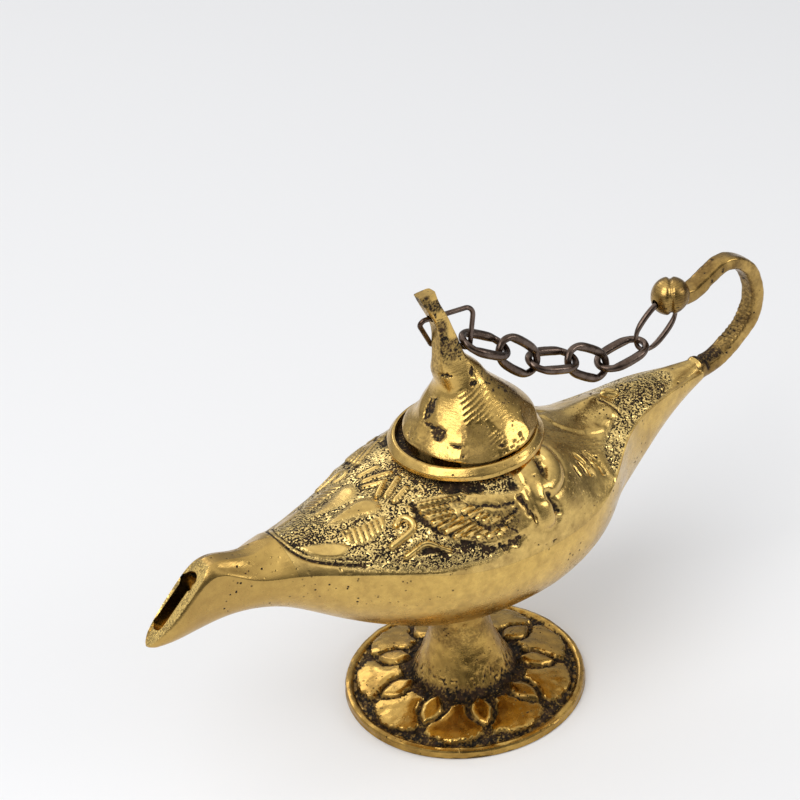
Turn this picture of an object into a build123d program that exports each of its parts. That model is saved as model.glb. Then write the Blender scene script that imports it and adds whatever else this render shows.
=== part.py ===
from build123d import *
import os
from math import acos, atan2, cos, degrees, pi, radians, sin, sqrt, tan

# Genie oil lamp in cast brass, with a steel chain from its lid to its handle. All sizes are in millimetres.
# Z is up, the spout points to -X and the handle to +X. The origin is the centre of the foot's resting face.

# Body: a closed hull, split along its seam into a lower bowl with the spout and an upper deck
foot_height = 20.3
body_height = 34.1
body_half_width = 20.6
spout_reach = 64.6
tail_reach = 59.5
body_wall = 1.2
seam_gap = 0.1
overrun = 1.0
bowl_roundness = 2.2

# One row for each station along the hull: place along the spout's or the tail's reach, half width,
# then the heights of the seam, crest and keel over the foot, and how boxy the crest is.
body_station_shares = [
    (-1.000, 0.058, 0.645, 0.689, 0.625, 0.50),
    (-0.944, 0.141, 0.724, 0.783, 0.613, 0.50),
    (-0.882, 0.170, 0.818, 0.889, 0.607, 0.50),
    (-0.793, 0.189, 0.930, 0.994, 0.607, 0.30),
    (-0.712, 0.252, 0.859, 0.959, 0.601, 0.20),
    (-0.580, 0.364, 0.789, 0.918, 0.507, 0.20),
    (-0.449, 0.549, 0.736, 0.902, 0.334, 0.25),
    (-0.310, 0.777, 0.683, 0.918, 0.179, 0.35),
    (-0.186, 0.932, 0.625, 0.953, 0.079, 0.55),
    (-0.062, 0.990, 0.578, 0.982, 0.021, 0.75),
    (0.072, 1.000, 0.554, 0.994, 0.003, 0.85),
    (0.202, 0.966, 0.548, 0.977, 0.003, 0.70),
    (0.336, 0.875, 0.560, 0.930, 0.045, 0.30),
    (0.471, 0.685, 0.625, 0.850, 0.100, 0.10),
    (0.571, 0.480, 0.695, 0.852, 0.165, 0.00),
    (0.672, 0.345, 0.736, 0.848, 0.270, 0.00),
    (0.773, 0.275, 0.754, 0.828, 0.420, 0.10),
    (0.874, 0.205, 0.748, 0.800, 0.543, 0.30),
    (1.000, 0.121, 0.724, 0.789, 0.651, 0.50),
]
cavity_first_station = 1
cavity_last_station = 16
deck_first_station = 5
midship_station = 10
section_steps = 12
ridge_power_share = 1.25
box_power_share = 2.75
box_root_share = 1.1

# Spout mouth: a flat slanted face with a keyhole for the wick
mouth_nose_share = 0.797
mouth_crest_share = 0.988
mouth_slope = 41.1
keyhole_bulb_radius = 1.5
keyhole_bulb_inset = 4.6
keyhole_slot_width = 1.7
keyhole_slot_length = 8.4

# Collar ring, let into the deck
collar_x = 4.5
collar_wall = 1.7
collar_height = 2.0
collar_ledge_thickness = 0.4
collar_neck_wall = 1.4
collar_neck_depth = 1.6
collar_overhang = 0.8
collar_seat_rise = 0.6
collar_fit = 0.1

# Lid: hollow dome with a spigot under it and a leaning horn on top
lid_offset = 0.6
lid_rim_radius = 11.5
lid_rim_gap = 0.5
lid_seat_gap = 0.1
spigot_radius = 9.1
spigot_clearance = 0.3
spigot_depth = 4.8
lid_hollow_radius = 7.7
lid_hollow_straight = 5.0
lid_hollow_crown = 5.0
dome_height = 17.4
# One row for each ring of the dome: height, radius over the rim's, and drift along X and Y off its axis
dome_ring_shares = [
    (0.000, 1.000, 0.000, 0.000),
    (0.100, 1.020, 0.000, 0.000),
    (0.200, 1.040, 0.045, -0.030),
    (0.282, 0.935, 0.085, -0.065),
    (0.425, 0.765, 0.040, -0.045),
    (0.569, 0.585, 0.000, -0.020),
    (0.713, 0.430, -0.050, 0.000),
    (0.856, 0.330, -0.110, 0.000),
    (1.000, 0.235, -0.200, 0.000),
]
horn_root_drop = 5.5
horn_height = 20.0
horn_lean = 6.85
horn_width = 6.6
horn_depth = 4.8
horn_corner = 0.35
# One row for each level of the horn: height, lean to the spout's side, width and depth
horn_level_shares = [
    (0.000, 0.292, 1.000, 1.000),
    (0.125, 0.299, 0.955, 0.917),
    (0.250, 0.365, 0.788, 0.750),
    (0.450, 0.460, 0.591, 0.708),
    (0.600, 0.555, 0.485, 0.688),
    (0.750, 0.700, 0.455, 0.646),
    (0.875, 0.869, 0.470, 0.583),
    (1.000, 1.000, 0.530, 0.500),
]
horn_hole_height_share = 0.725
horn_hole_lean_share = 0.676

# Lid ring: a loop of bent wire through the horn's hole, which passes behind the horn below it
lid_ring_wire = 0.86
lid_ring_clearance = 0.32
lid_ring_span = 12.1
lid_ring_drop = 9.4
lid_ring_bend = 0.9
lid_ring_horn_gap = 0.2
lid_ring_chain_end_shares = (0.43, -0.745)
# One row for each corner but the one at the chain: along the span, back behind the horn, up the drop
lid_ring_spout_corner_shares = (-0.345, 0.0, 0.053)
lid_ring_top_corner_shares = (0.660, 0.0, -0.098)
lid_ring_behind_corner_shares = (0.360, 1.0, -0.860)
lid_ring_low_corner_shares = (-0.014, 1.0, -0.700)
lid_ring_corner_slant = -62
lid_ring_corner_share = 1.6
# The horn's level that the ring passes behind
lid_ring_horn_level = 3

# Chain: five equal links, whose length follows from the span between the lid ring and the handle ring
link_width = 7.0
link_wire = 1.36
link_gap = 0.22
link_ring_gap = 0.45
# From the handle's side to the lid's: rise along the chain and twist about its own length, in degrees
link_tilts = [5.2, -34.7, -18.6, -44.0, -31.0]
link_twists = [-8.0, -74.0, -18.0, -80.0, -22.0]

# Handle ring: a long link that runs through the handle's knob
handle_ring_length = 11.7
handle_ring_width = 8.2
handle_ring_wire = 0.9
handle_ring_clearance = 0.4
handle_ring_tilt = 36.6
handle_ring_hang = 57.8
handle_ring_inset = 0.5
handle_ring_twist = -90.0

# Handle: a strap that loops up from the tail and ends in a two-lobed knob
handle_reach = 15.0
handle_rise = 20.7
handle_root_share = 0.72
strap_width = 4.1
strap_thickness = 3.2
# One row for each place along the strap: reach, rise, width and thickness
strap_shares = [
    (0.000, 0.000, 1.20, 1.40),
    (0.100, -0.004, 1.12, 1.25),
    (0.240, 0.010, 1.05, 1.08),
    (0.427, 0.058, 1.00, 1.00),
    (0.600, 0.126, 1.00, 1.00),
    (0.807, 0.232, 1.00, 1.02),
    (0.947, 0.367, 1.00, 1.05),
    (1.000, 0.536, 1.00, 1.05),
    (0.953, 0.720, 1.00, 0.98),
    (0.853, 0.855, 1.00, 0.90),
    (0.613, 0.981, 0.98, 0.85),
    (0.447, 1.000, 0.96, 0.85),
    (0.300, 0.961, 0.95, 0.88),
    (0.113, 0.903, 0.95, 0.92),
    (-0.067, 0.850, 0.95, 1.00),
    (-0.330, 0.875, 0.90, 1.00),
]
knob_reach_share = -0.40
knob_rise_share = 0.889
knob_radius = 3.45
knob_lobe_radius = 3.1
knob_lobe_shift = 1.5

# Foot: a round flared base with petals, hollow below, bolted up through its neck
foot_radius = 23.0
foot_rim_width = 1.6
foot_rim_height = 1.9
dish_outer_height = 2.0
dish_inner_radius = 10.5
dish_inner_height = 4.2
neck_radius = 5.4
foot_wall = 1.3
hollow_roof_height = 8.0
hollow_roof_radius = 6.0
# One row for each place up the neck: flare over the neck's radius, and height over the dish
neck_shares = [
    (1.000, 0.000),
    (0.765, 0.080),
    (0.410, 0.300),
    (0.120, 0.550),
    (0.000, 0.800),
    (0.040, 1.000),
]
petal_count = 9
petal_groove_turn = 7.0
petal_groove_radius = 0.5

# Bolt through the neck
bolt_radius = 2.0
bolt_hole_clearance = 0.15
bolt_head_radius = 3.6
bolt_head_height = 2.2
bolt_slot_width = 1.0
bolt_slot_depth = 1.1
bolt_end_length = 0.8
pad_radius = 4.6
pad_rise = 0.9
washer_radius = 4.5
washer_thickness = 0.8
nut_radius = 4.04
nut_height = 3.2
thread_clearance = 0.03
nut_sides = 6


def station_sizes(shares):
    """Place and sizes of one hull station: x, half width, seam, crest and keel heights, boxiness."""
    reach, width, seam, crest, keel, boxiness = shares
    x = reach * (spout_reach if reach < 0 else tail_reach)
    seam_z, crest_z, keel_z = [foot_height + share * body_height for share in (seam, crest, keel)]
    return x, width * body_half_width, seam_z, crest_z, keel_z, boxiness


# Places that follow from the sizes above
_, _, midship_seam_z, midship_crest_z, _, _ = station_sizes(body_station_shares[midship_station])
collar_bottom_z = midship_crest_z - collar_seat_rise
ledge_top_z = collar_bottom_z + collar_ledge_thickness
lid_base_z = ledge_top_z + lid_seat_gap
horn_root_z = lid_base_z + dome_height - horn_root_drop
lid_x = collar_x + lid_offset
horn_hole_x = lid_x - horn_hole_lean_share * horn_lean
horn_hole = Vector(horn_hole_x, 0, horn_root_z + horn_hole_height_share * horn_height)
mouth_normal = Vector(-sin(radians(mouth_slope)), 0, cos(radians(mouth_slope)))
mouth_nose = Vector(-mouth_nose_share * spout_reach, 0, foot_height + mouth_crest_share * body_height)
collar_hole_radius = spigot_radius + lid_offset + spigot_clearance
collar_inner_radius = lid_rim_radius + lid_offset + lid_rim_gap
collar_outer_radius = collar_inner_radius + collar_wall
handle_root_z = foot_height + handle_root_share * body_height
knob_x = tail_reach + knob_reach_share * handle_reach
knob_centre = Vector(knob_x, 0, handle_root_z + knob_rise_share * handle_rise)
handle_ring_arc = (handle_ring_width - handle_ring_wire) / 2
hang_direction = Vector(cos(radians(handle_ring_hang)), 0, sin(radians(handle_ring_hang)))
handle_ring_pivot = knob_centre - hang_direction * (handle_ring_arc + handle_ring_inset)


def ring_place(along, back, up):
    """Place on the lid ring's line, from the horn's hole: along its span, back behind the horn and up."""
    _, _, _, depth = horn_level_shares[lid_ring_horn_level]
    behind = horn_depth * depth / 2 + lid_ring_horn_gap + lid_ring_wire / 2
    return horn_hole + Vector(along * lid_ring_span, back * behind, up * lid_ring_drop)


def turned(angle):
    """Unit vector in the lamp's middle plane, at an angle in degrees above +X."""
    return Vector(cos(radians(angle)), 0, sin(radians(angle)))


def solve_chain():
    """Link length, tilts and pivots of a chain that just spans from the handle ring to the lid ring.

    The five tilts keep their differences. The pivots' sum is linear in the link's length, so the length
    that gives the right distance is a root of a quadratic. One common turn brings the end into place.
    """
    along, up = lid_ring_chain_end_shares
    chain_end = ring_place(along, 0, up)
    target = handle_ring_pivot - chain_end
    ring_pitch = handle_ring_length - handle_ring_wire - handle_ring_arc
    ring_pitch -= link_wire / 2 + handle_ring_wire / 2 + link_gap
    per_length = Vector(0, 0, 0)
    fixed = turned(handle_ring_tilt) * ring_pitch
    for index, tilt in enumerate(link_tilts):
        shortening = link_wire if index % 2 == 0 else 3 * link_wire + 2 * link_gap
        per_length += turned(tilt)
        fixed -= turned(tilt) * shortening
    a = per_length.dot(per_length)
    b = per_length.dot(fixed)
    c = fixed.dot(fixed) - target.dot(target)
    length = (-b + sqrt(b * b - a * c)) / a
    reached = per_length * length + fixed
    swing = degrees(atan2(target.Z, target.X) - atan2(reached.Z, reached.X))
    tilts = [handle_ring_tilt + swing] + [tilt + swing for tilt in link_tilts]
    pitches = [ring_pitch]
    for index in range(len(link_tilts)):
        shortening = link_wire if index % 2 == 0 else 3 * link_wire + 2 * link_gap
        pitches.append(length - shortening)
    pivots = [handle_ring_pivot]
    for tilt, pitch in zip(tilts, pitches):
        pivots.append(pivots[-1] - turned(tilt) * pitch)
    return length, tilts, pivots


link_length, chain_tilts, chain_pivots = solve_chain()


def upright_cylinder(radius, bottom, top, x=0):
    """Cylinder about a vertical axis between two heights."""
    return Pos(x, 0, (bottom + top) / 2) * Cylinder(radius, top - bottom)


def hull_section(shares, inset):
    """Face across the hull: a crest curve over the seam and a superellipse under it, moved inwards."""
    x, half_width, seam, crest, keel, boxiness = station_sizes(shares)
    half_width -= inset
    rise = crest - inset - seam
    depth = seam - keel - inset
    power = ridge_power_share + box_power_share * boxiness
    root = 1 + box_root_share * boxiness
    upper = []
    lower = []
    for step in range(section_steps + 1):
        angle = pi * step / section_steps
        across = cos(angle)
        upper.append((x, half_width * across, seam + rise * (1 - abs(across) ** power) ** (1 / root)))
        side = abs(across) ** (2 / bowl_roundness) * (1 if across > 0 else -1)
        lower.append((x, half_width * side, seam - depth * abs(sin(angle)) ** (2 / bowl_roundness)))
    upper[0] = lower[0] = (x, half_width, seam)
    upper[-1] = lower[-1] = (x, -half_width, seam)
    return make_face(Spline(*upper) + Spline(*lower))


def above_mouth(sink):
    """Block over the plane of the spout's slanted mouth, sunk into the spout by the given depth."""
    size = spout_reach
    plane = Plane(mouth_nose - mouth_normal * sink, x_dir=(0, 1, 0), z_dir=mouth_normal)
    return plane * Pos(0, 0, size / 2) * Box(size, 2 * size, size)


def make_hull():
    """Outer form of the whole body, cut flat at the spout's mouth."""
    return loft([hull_section(shares, 0) for shares in body_station_shares]) - above_mouth(0)


def make_cavity():
    """Oil space: the hull moved in by the wall, from the spout's tip to the solid tail."""
    rows = body_station_shares[cavity_first_station:cavity_last_station + 1]
    return loft([hull_section(shares, body_wall) for shares in rows]) - above_mouth(body_wall)


def make_deck_region():
    """Everything above the seam, from the deck's front edge to beyond the tail."""
    places = [station_sizes(shares) for shares in body_station_shares[deck_first_station:]]
    seam_line = [Vector(x, 0, seam_z) for x, _, seam_z, *_ in places]
    front, tail = seam_line[0], seam_line[-1]
    top = foot_height + 2 * body_height
    beyond = tail + Vector(overrun, 0, 0)
    corners = Polyline(tail, beyond, (beyond.X, 0, top), (front.X, 0, top), front)
    return extrude(make_face(Spline(*seam_line) + corners), 2 * body_half_width, dir=(0, 1, 0), both=True)


def make_keyhole():
    """Round bulb with a straight slot down the spout's mouth, through its wall."""
    plane = Plane(mouth_nose, x_dir=Vector(0, 1, 0).cross(mouth_normal) * -1, z_dir=mouth_normal)
    bulb = Pos(keyhole_bulb_inset, 0) * Circle(keyhole_bulb_radius)
    slot_middle = keyhole_bulb_inset + keyhole_slot_length / 2
    slot = Pos(slot_middle, 0) * SlotCenterToCenter(keyhole_slot_length, keyhole_slot_width)
    return extrude(plane * (bulb + slot), body_wall + overrun, both=True)


def make_lower_bowl(hull, cavity, deck_region):
    """Bowl and spout below the seam, with flat seats for the foot and for the bolt's head."""
    seat_top = foot_height + body_wall
    seat = upright_cylinder(pad_radius, foot_height, seat_top)
    pad_top = seat_top + pad_rise
    pad = upright_cylinder(pad_radius, seat_top - overrun / 2, pad_top)
    bolt_hole = upright_cylinder(bolt_radius + bolt_hole_clearance, foot_height - overrun, pad_top + overrun)
    shell = hull - deck_region - cavity
    return shell - make_keyhole() + seat + pad - bolt_hole


def make_upper_deck(hull, cavity, deck_region):
    """Deck above the seam, with a round seat for the collar and the filling hole."""
    raised = Pos(seam_gap, 0, seam_gap) * deck_region
    seat_bottom = (midship_seam_z + collar_bottom_z) / 2
    seat = upright_cylinder(collar_outer_radius - collar_overhang, seat_bottom, collar_bottom_z, collar_x)
    hole_radius = collar_hole_radius + collar_neck_wall + collar_fit
    hole = upright_cylinder(hole_radius, seat_bottom - overrun, collar_bottom_z + body_height, collar_x)
    return (hull & raised) + seat - cavity - hole


def make_collar():
    """Turned ring: an upstanding rim, a ledge for the lid and a neck that drops into the deck."""
    rim_top = collar_bottom_z + collar_height
    rim = upright_cylinder(collar_outer_radius, collar_bottom_z, rim_top, collar_x)
    well = upright_cylinder(collar_inner_radius, ledge_top_z, rim_top + overrun, collar_x)
    neck_bottom = collar_bottom_z - collar_neck_depth
    neck_top = collar_bottom_z + collar_ledge_thickness / 2
    neck = upright_cylinder(collar_hole_radius + collar_neck_wall, neck_bottom, neck_top, collar_x)
    hole = upright_cylinder(collar_hole_radius, neck_bottom - overrun, ledge_top_z + overrun, collar_x)
    return rim - well + neck - hole


def make_lid():
    """Dome and leaning horn over a spigot, hollowed from below, with a hole through the horn."""
    rings = []
    for height, radius, drift_x, drift_y in dome_ring_shares:
        ring_x = lid_x + drift_x * lid_rim_radius
        place = Pos(ring_x, drift_y * lid_rim_radius, lid_base_z + height * dome_height)
        rings.append(place * Circle(radius * lid_rim_radius))
    levels = []
    for height, lean, width, depth in horn_level_shares:
        place = Pos(lid_x - lean * horn_lean, 0, horn_root_z + height * horn_height)
        levels.append(place * RectangleRounded(width * horn_width, depth * horn_depth, horn_corner))
    spigot = upright_cylinder(spigot_radius, lid_base_z - spigot_depth, lid_base_z + overrun, lid_x)
    hollow_bottom = lid_base_z - spigot_depth - overrun
    crown_z = lid_base_z + lid_hollow_straight
    hollow = upright_cylinder(lid_hollow_radius, hollow_bottom, crown_z, lid_x)
    quarter = EllipticalCenterArc((0, 0), lid_hollow_radius, lid_hollow_crown, start_angle=0, arc_size=90)
    outline = quarter + Polyline((0, lid_hollow_crown), (0, 0), (lid_hollow_radius, 0))
    crown = Pos(lid_x, 0, crown_z) * revolve(Plane.XZ * make_face(outline), Axis.Z)
    hole_plane = Plane(horn_hole, z_dir=ring_place(*lid_ring_top_corner_shares) - horn_hole)
    hole = hole_plane * Cylinder(lid_ring_wire / 2 + lid_ring_clearance, horn_width)
    return loft(rings) + loft(levels) + spigot - hollow - crown - hole


def bent_wire(corners, bends, radius):
    """Round wire round a closed run of corners, each rounded by an arc that touches both of its sides."""
    count = len(corners)
    arcs = []
    for index in range(count):
        corner = corners[index]
        back = (corners[index - 1] - corner).normalized()
        ahead = (corners[(index + 1) % count] - corner).normalized()
        half = acos(back.dot(ahead)) / 2
        reach = bends[index] / tan(half)
        middle = (back + ahead).normalized() * (bends[index] / sin(half) - bends[index])
        arcs.append(ThreePointArc(corner + back * reach, corner + middle, corner + ahead * reach))
    wire = None
    for index in range(count):
        for edge in (arcs[index], Line(arcs[index] @ 1, arcs[(index + 1) % count] @ 0)):
            length = sweep(Plane(edge @ 0, z_dir=edge % 0) * Circle(radius), edge)
            wire = length if wire is None else wire + length
    return wire


def make_lid_ring():
    """Bent-wire loop through the horn's hole. Its chain corner bends round the first link's end."""
    chain_bend = link_wire / 2 + link_ring_gap + lid_ring_wire / 2
    corners = [
        ring_place(*lid_ring_spout_corner_shares),
        ring_place(*lid_ring_top_corner_shares),
        chain_pivots[-1] + turned(lid_ring_corner_slant) * chain_bend * lid_ring_corner_share,
        ring_place(*lid_ring_behind_corner_shares),
        ring_place(*lid_ring_low_corner_shares),
    ]
    bends = [lid_ring_bend, 2 * lid_ring_bend, lid_ring_bend, lid_ring_bend, lid_ring_bend]
    return bent_wire(corners, bends, lid_ring_wire / 2)


def sweep_wire(path, radius):
    """Round wire bent along a closed path."""
    return sweep(Plane(path @ 0, z_dir=path % 0) * Circle(radius), path)


def make_link(length, width, wire, middle, tilt, twist):
    """Long round-ended link, tilted in the middle plane and twisted about its own length."""
    along = turned(tilt)
    raised = turned(tilt + 90)
    across = Vector(0, -1, 0) * cos(radians(twist)) + raised * sin(radians(twist))
    outline = SlotOverall(length - wire, width - wire).face().outer_wire()
    return Plane(middle, x_dir=along, z_dir=along.cross(across)) * sweep_wire(outline, wire / 2)


def make_chain_links():
    """The five links, from the lid's side to the handle's, each halfway between its neighbours' pivots."""
    links = []
    for index in range(len(link_tilts)):
        middle = (chain_pivots[index + 1] + chain_pivots[index + 2]) / 2
        tilt = chain_tilts[index + 1]
        links.append(make_link(link_length, link_width, link_wire, middle, tilt, link_twists[index]))
    return links[::-1]


def make_handle_ring():
    """Ring whose outer bend is centred on its pivot, so that it slides round through the knob's tunnel."""
    tilt = chain_tilts[0]
    middle = handle_ring_pivot - turned(tilt) * ((handle_ring_length - handle_ring_width) / 2)
    return make_link(handle_ring_length, handle_ring_width, handle_ring_wire, middle, tilt, handle_ring_twist)


def make_handle():
    """Strap lofted through ellipses square to its line, and the knob with the ring's curved tunnel."""
    root = Vector(tail_reach + seam_gap, 0, handle_root_z)
    points = [root + Vector(reach * handle_reach, 0, rise * handle_rise) for reach, rise, *_ in strap_shares]
    ellipses = []
    for index, (_, _, width, thickness) in enumerate(strap_shares):
        after = points[min(index + 1, len(points) - 1)]
        before = points[max(index - 1, 0)]
        heading = after - before if index > 0 else Vector(1, 0, 0)
        plane = Plane(points[index], x_dir=(0, 1, 0), z_dir=heading)
        ellipses.append(plane * Ellipse(width * strap_width / 2, thickness * strap_thickness / 2))
    knob = Pos(knob_centre + Vector(knob_lobe_shift / 2, 0, 0)) * Sphere(knob_radius)
    lobe = Pos(knob_centre - Vector(knob_lobe_shift / 2, 0, 0)) * Sphere(knob_lobe_radius)
    bore = handle_ring_wire / 2 + handle_ring_clearance
    tunnel = Plane(handle_ring_pivot, z_dir=(0, 1, 0)) * Torus(handle_ring_arc, bore)
    return loft(ellipses) + knob + lobe - tunnel


def make_foot():
    """Revolved flared base with grooves between its petals, hollow below and bored for the bolt."""
    neck_height = foot_height - dish_inner_height
    flare = dish_inner_radius - neck_radius
    neck = []
    for out, up in neck_shares:
        neck.append((neck_radius + out * flare, dish_inner_height + up * neck_height))
    dish_radius = foot_radius - foot_rim_width
    base = Polyline((0, foot_height), (0, 0), (foot_radius, 0), (foot_radius, foot_rim_height),
                    (dish_radius, dish_outer_height), neck[0])
    outline = base + Spline(*neck) + Line(neck[-1], (0, foot_height))
    body = revolve(Plane.XZ * make_face(outline), Axis.Z)
    hollow_outline = Polyline((0, -overrun), (dish_radius, -overrun),
                              (dish_radius, dish_outer_height - foot_wall),
                              (dish_inner_radius, dish_inner_height - foot_wall),
                              (hollow_roof_radius, hollow_roof_height), (0, hollow_roof_height), close=True)
    hollow = revolve(Plane.XZ * make_face(hollow_outline), Axis.Z)
    run = dish_radius - dish_inner_radius
    slope = atan2(dish_inner_height - dish_outer_height, run)
    middle = Vector((dish_radius + dish_inner_radius) / 2, 0, (dish_inner_height + dish_outer_height) / 2)
    groove_plane = Plane(middle, z_dir=(-cos(slope), 0, sin(slope)))
    groove = groove_plane * Cylinder(petal_groove_radius, run - foot_rim_width)
    turns = [petal_groove_turn + 360 * index / petal_count for index in range(petal_count)]
    grooves = [Rot(0, 0, turn) * groove for turn in turns]
    hole = upright_cylinder(bolt_radius + bolt_hole_clearance, 0, foot_height + overrun)
    return body - hollow - hole - grooves


def make_bolt_set():
    """Slotted bolt from inside the bowl, with its washer and nut in the foot's hollow."""
    head_bottom = foot_height + body_wall + pad_rise
    head_top = head_bottom + bolt_head_height
    nut_top = hollow_roof_height - washer_thickness
    nut_bottom = nut_top - nut_height
    shank = upright_cylinder(bolt_radius, nut_bottom - bolt_end_length, head_bottom + bolt_head_height / 2)
    head = upright_cylinder(bolt_head_radius, head_bottom, head_top)
    slot = Pos(0, 0, head_top) * Box(2 * (bolt_head_radius + overrun), bolt_slot_width, 2 * bolt_slot_depth)
    bolt = head + shank - slot
    washer = upright_cylinder(washer_radius, nut_top, hollow_roof_height)
    washer_hole = bolt_radius + bolt_hole_clearance
    washer -= upright_cylinder(washer_hole, nut_top - overrun, hollow_roof_height + overrun)
    nut = Pos(0, 0, nut_bottom) * extrude(RegularPolygon(nut_radius, nut_sides), nut_height)
    nut -= upright_cylinder(bolt_radius + thread_clearance, nut_bottom - overrun, nut_top + overrun)
    return bolt, washer, nut


def make_lamp():
    """All pieces by node name."""
    hull = make_hull()
    cavity = make_cavity()
    deck_region = make_deck_region()
    bolt, washer, nut = make_bolt_set()
    pieces = {
        "foot": make_foot(),
        "foot_bolt": bolt,
        "foot_washer": washer,
        "foot_nut": nut,
        "lower_bowl": make_lower_bowl(hull, cavity, deck_region),
        "upper_deck": make_upper_deck(hull, cavity, deck_region),
        "collar_ring": make_collar(),
        "handle": make_handle(),
        "handle_ring": make_handle_ring(),
        "lid": make_lid(),
        "lid_ring": make_lid_ring(),
    }
    for number, link in enumerate(make_chain_links(), start=1):
        pieces[f"chain_link_{number}"] = link
    return pieces


os.makedirs("parts", exist_ok=True)
for name, piece in make_lamp().items():
    export_step(piece, f"parts/{name}.step")
print("link length", round(link_length, 3))
for name, tilt, pivot in zip(["handle_ring", 5, 4, 3, 2, 1, "end"], chain_tilts + [0], chain_pivots):
    print("pivot", name, round(tilt, 2), [round(value, 3) for value in pivot])
print("horn hole", [round(value, 3) for value in horn_hole], "lid base", round(lid_base_z, 2))
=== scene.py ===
import bmesh
import bpy
import numpy as np
from mathutils import Matrix


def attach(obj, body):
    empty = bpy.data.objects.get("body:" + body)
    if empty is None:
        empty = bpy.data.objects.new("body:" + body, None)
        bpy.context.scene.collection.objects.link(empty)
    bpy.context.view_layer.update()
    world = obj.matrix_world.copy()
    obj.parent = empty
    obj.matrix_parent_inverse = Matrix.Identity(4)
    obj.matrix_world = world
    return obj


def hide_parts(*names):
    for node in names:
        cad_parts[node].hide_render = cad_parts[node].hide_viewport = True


# Genie oil lamp. Lengths are millimetres in the CAD model's frame: Z up, spout to -X, handle to +X.
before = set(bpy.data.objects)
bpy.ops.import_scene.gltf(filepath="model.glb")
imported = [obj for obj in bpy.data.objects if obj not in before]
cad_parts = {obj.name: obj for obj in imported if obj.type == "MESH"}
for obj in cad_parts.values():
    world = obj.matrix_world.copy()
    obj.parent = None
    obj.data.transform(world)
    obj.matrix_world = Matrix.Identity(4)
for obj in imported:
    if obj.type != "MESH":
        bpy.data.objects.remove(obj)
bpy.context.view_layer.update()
MM = 0.001

# Hull sizes, as the CAD model has them. The belly is a little fuller here, by belly_fill round belly_fill_x
foot_height = 20.3
body_height = 34.1
body_half_width = 20.6
spout_reach = 64.6
tail_reach = 59.5
body_wall = 1.2
seam_gap = 0.1
shown_seam = 0.02
belly_fill_x = 12.0
belly_fill = 0.5
bowl_roundness = 2.2
# One row for each station: reach, half width, heights of seam, crest and keel, and boxiness of the crest
body_station_shares = np.array([
    (-1.000, 0.058, 0.645, 0.689, 0.625, 0.50),
    (-0.944, 0.141, 0.724, 0.783, 0.613, 0.50),
    (-0.882, 0.170, 0.818, 0.889, 0.607, 0.50),
    (-0.793, 0.189, 0.930, 0.994, 0.607, 0.30),
    (-0.712, 0.252, 0.859, 0.959, 0.601, 0.20),
    (-0.580, 0.364, 0.789, 0.918, 0.507, 0.20),
    (-0.449, 0.549, 0.736, 0.902, 0.334, 0.25),
    (-0.310, 0.777, 0.683, 0.918, 0.179, 0.35),
    (-0.186, 0.932, 0.625, 0.953, 0.079, 0.55),
    (-0.062, 0.990, 0.578, 0.982, 0.021, 0.75),
    (0.072, 1.000, 0.554, 0.994, 0.003, 0.85),
    (0.202, 0.966, 0.548, 0.977, 0.003, 0.70),
    (0.336, 0.875, 0.560, 0.930, 0.045, 0.30),
    (0.471, 0.685, 0.625, 0.850, 0.100, 0.10),
    (0.571, 0.480, 0.695, 0.852, 0.165, 0.00),
    (0.672, 0.345, 0.736, 0.848, 0.270, 0.00),
    (0.773, 0.275, 0.754, 0.828, 0.420, 0.10),
    (0.874, 0.205, 0.748, 0.800, 0.543, 0.30),
    (1.000, 0.121, 0.724, 0.789, 0.651, 0.50),
])
station_x = body_station_shares[:, 0] * np.where(body_station_shares[:, 0] < 0, spout_reach, tail_reach)
deck_front_x = -37.468
cavity_front_x = -60.0
cavity_tail_x = 46.0

# Spout mouth. The keyhole is drawn as photographed, which is wider than the CAD model's
mouth_nose_x = -51.487
mouth_nose_z = 53.99
mouth_slope = 41.1
keyhole_bulb_radius = 2.0
keyhole_bulb_inset = 4.6
keyhole_slot_width = 3.0
keyhole_slot_length = 8.4
keyhole_depth = 3.2
keyhole_overrun = 2.0

# Collar and lid
collar_x = 4.5
collar_bottom_z = 53.595
collar_height = 2.0
collar_inner_radius = 12.6
collar_outer_radius = 14.3
collar_hole_radius = 10.0
collar_neck_radius = 11.4
collar_neck_depth = 1.6
collar_ledge_thickness = 0.4
lid_x = 5.1
lid_base_z = 54.095
lid_rim_z = 54.3
horn_start_z = 70.0
horn_top_z = 86.0
lid_rim_radius = 11.5
spigot_radius = 9.1
spigot_depth = 4.8
lid_hollow_radius = 7.7
lid_hollow_straight = 5.0
lid_hollow_crown = 5.0
horn_hole = np.array([0.469, 0.0, 80.495])
horn_hole_radius = 0.75

# Handle, knob and handle ring
handle_reach = 15.0
handle_rise = 20.7
handle_root_z = 44.852
strap_width = 4.1
strap_thickness = 3.2
# One row for each place along the strap: reach, rise, width and thickness
strap_shares = np.array([
    (0.000, 0.000, 1.20, 1.40),
    (0.100, -0.004, 1.12, 1.25),
    (0.240, 0.010, 1.05, 1.08),
    (0.427, 0.058, 1.00, 1.00),
    (0.600, 0.126, 1.00, 1.00),
    (0.807, 0.232, 1.00, 1.02),
    (0.947, 0.367, 1.00, 1.05),
    (1.000, 0.536, 1.00, 1.05),
    (0.953, 0.720, 1.00, 0.98),
    (0.853, 0.855, 1.00, 0.90),
    (0.613, 0.981, 0.98, 0.85),
    (0.447, 1.000, 0.96, 0.85),
    (0.300, 0.961, 0.95, 0.88),
    (0.113, 0.903, 0.95, 0.92),
    (-0.067, 0.850, 0.95, 1.00),
    (-0.330, 0.875, 0.90, 1.00),
])
knob_centre = np.array([53.5, 0.0, 63.254])
knob_radius = 3.45
knob_rise = 0.3
handle_ring_arc = 3.65
handle_ring_bore = 0.85

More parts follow.
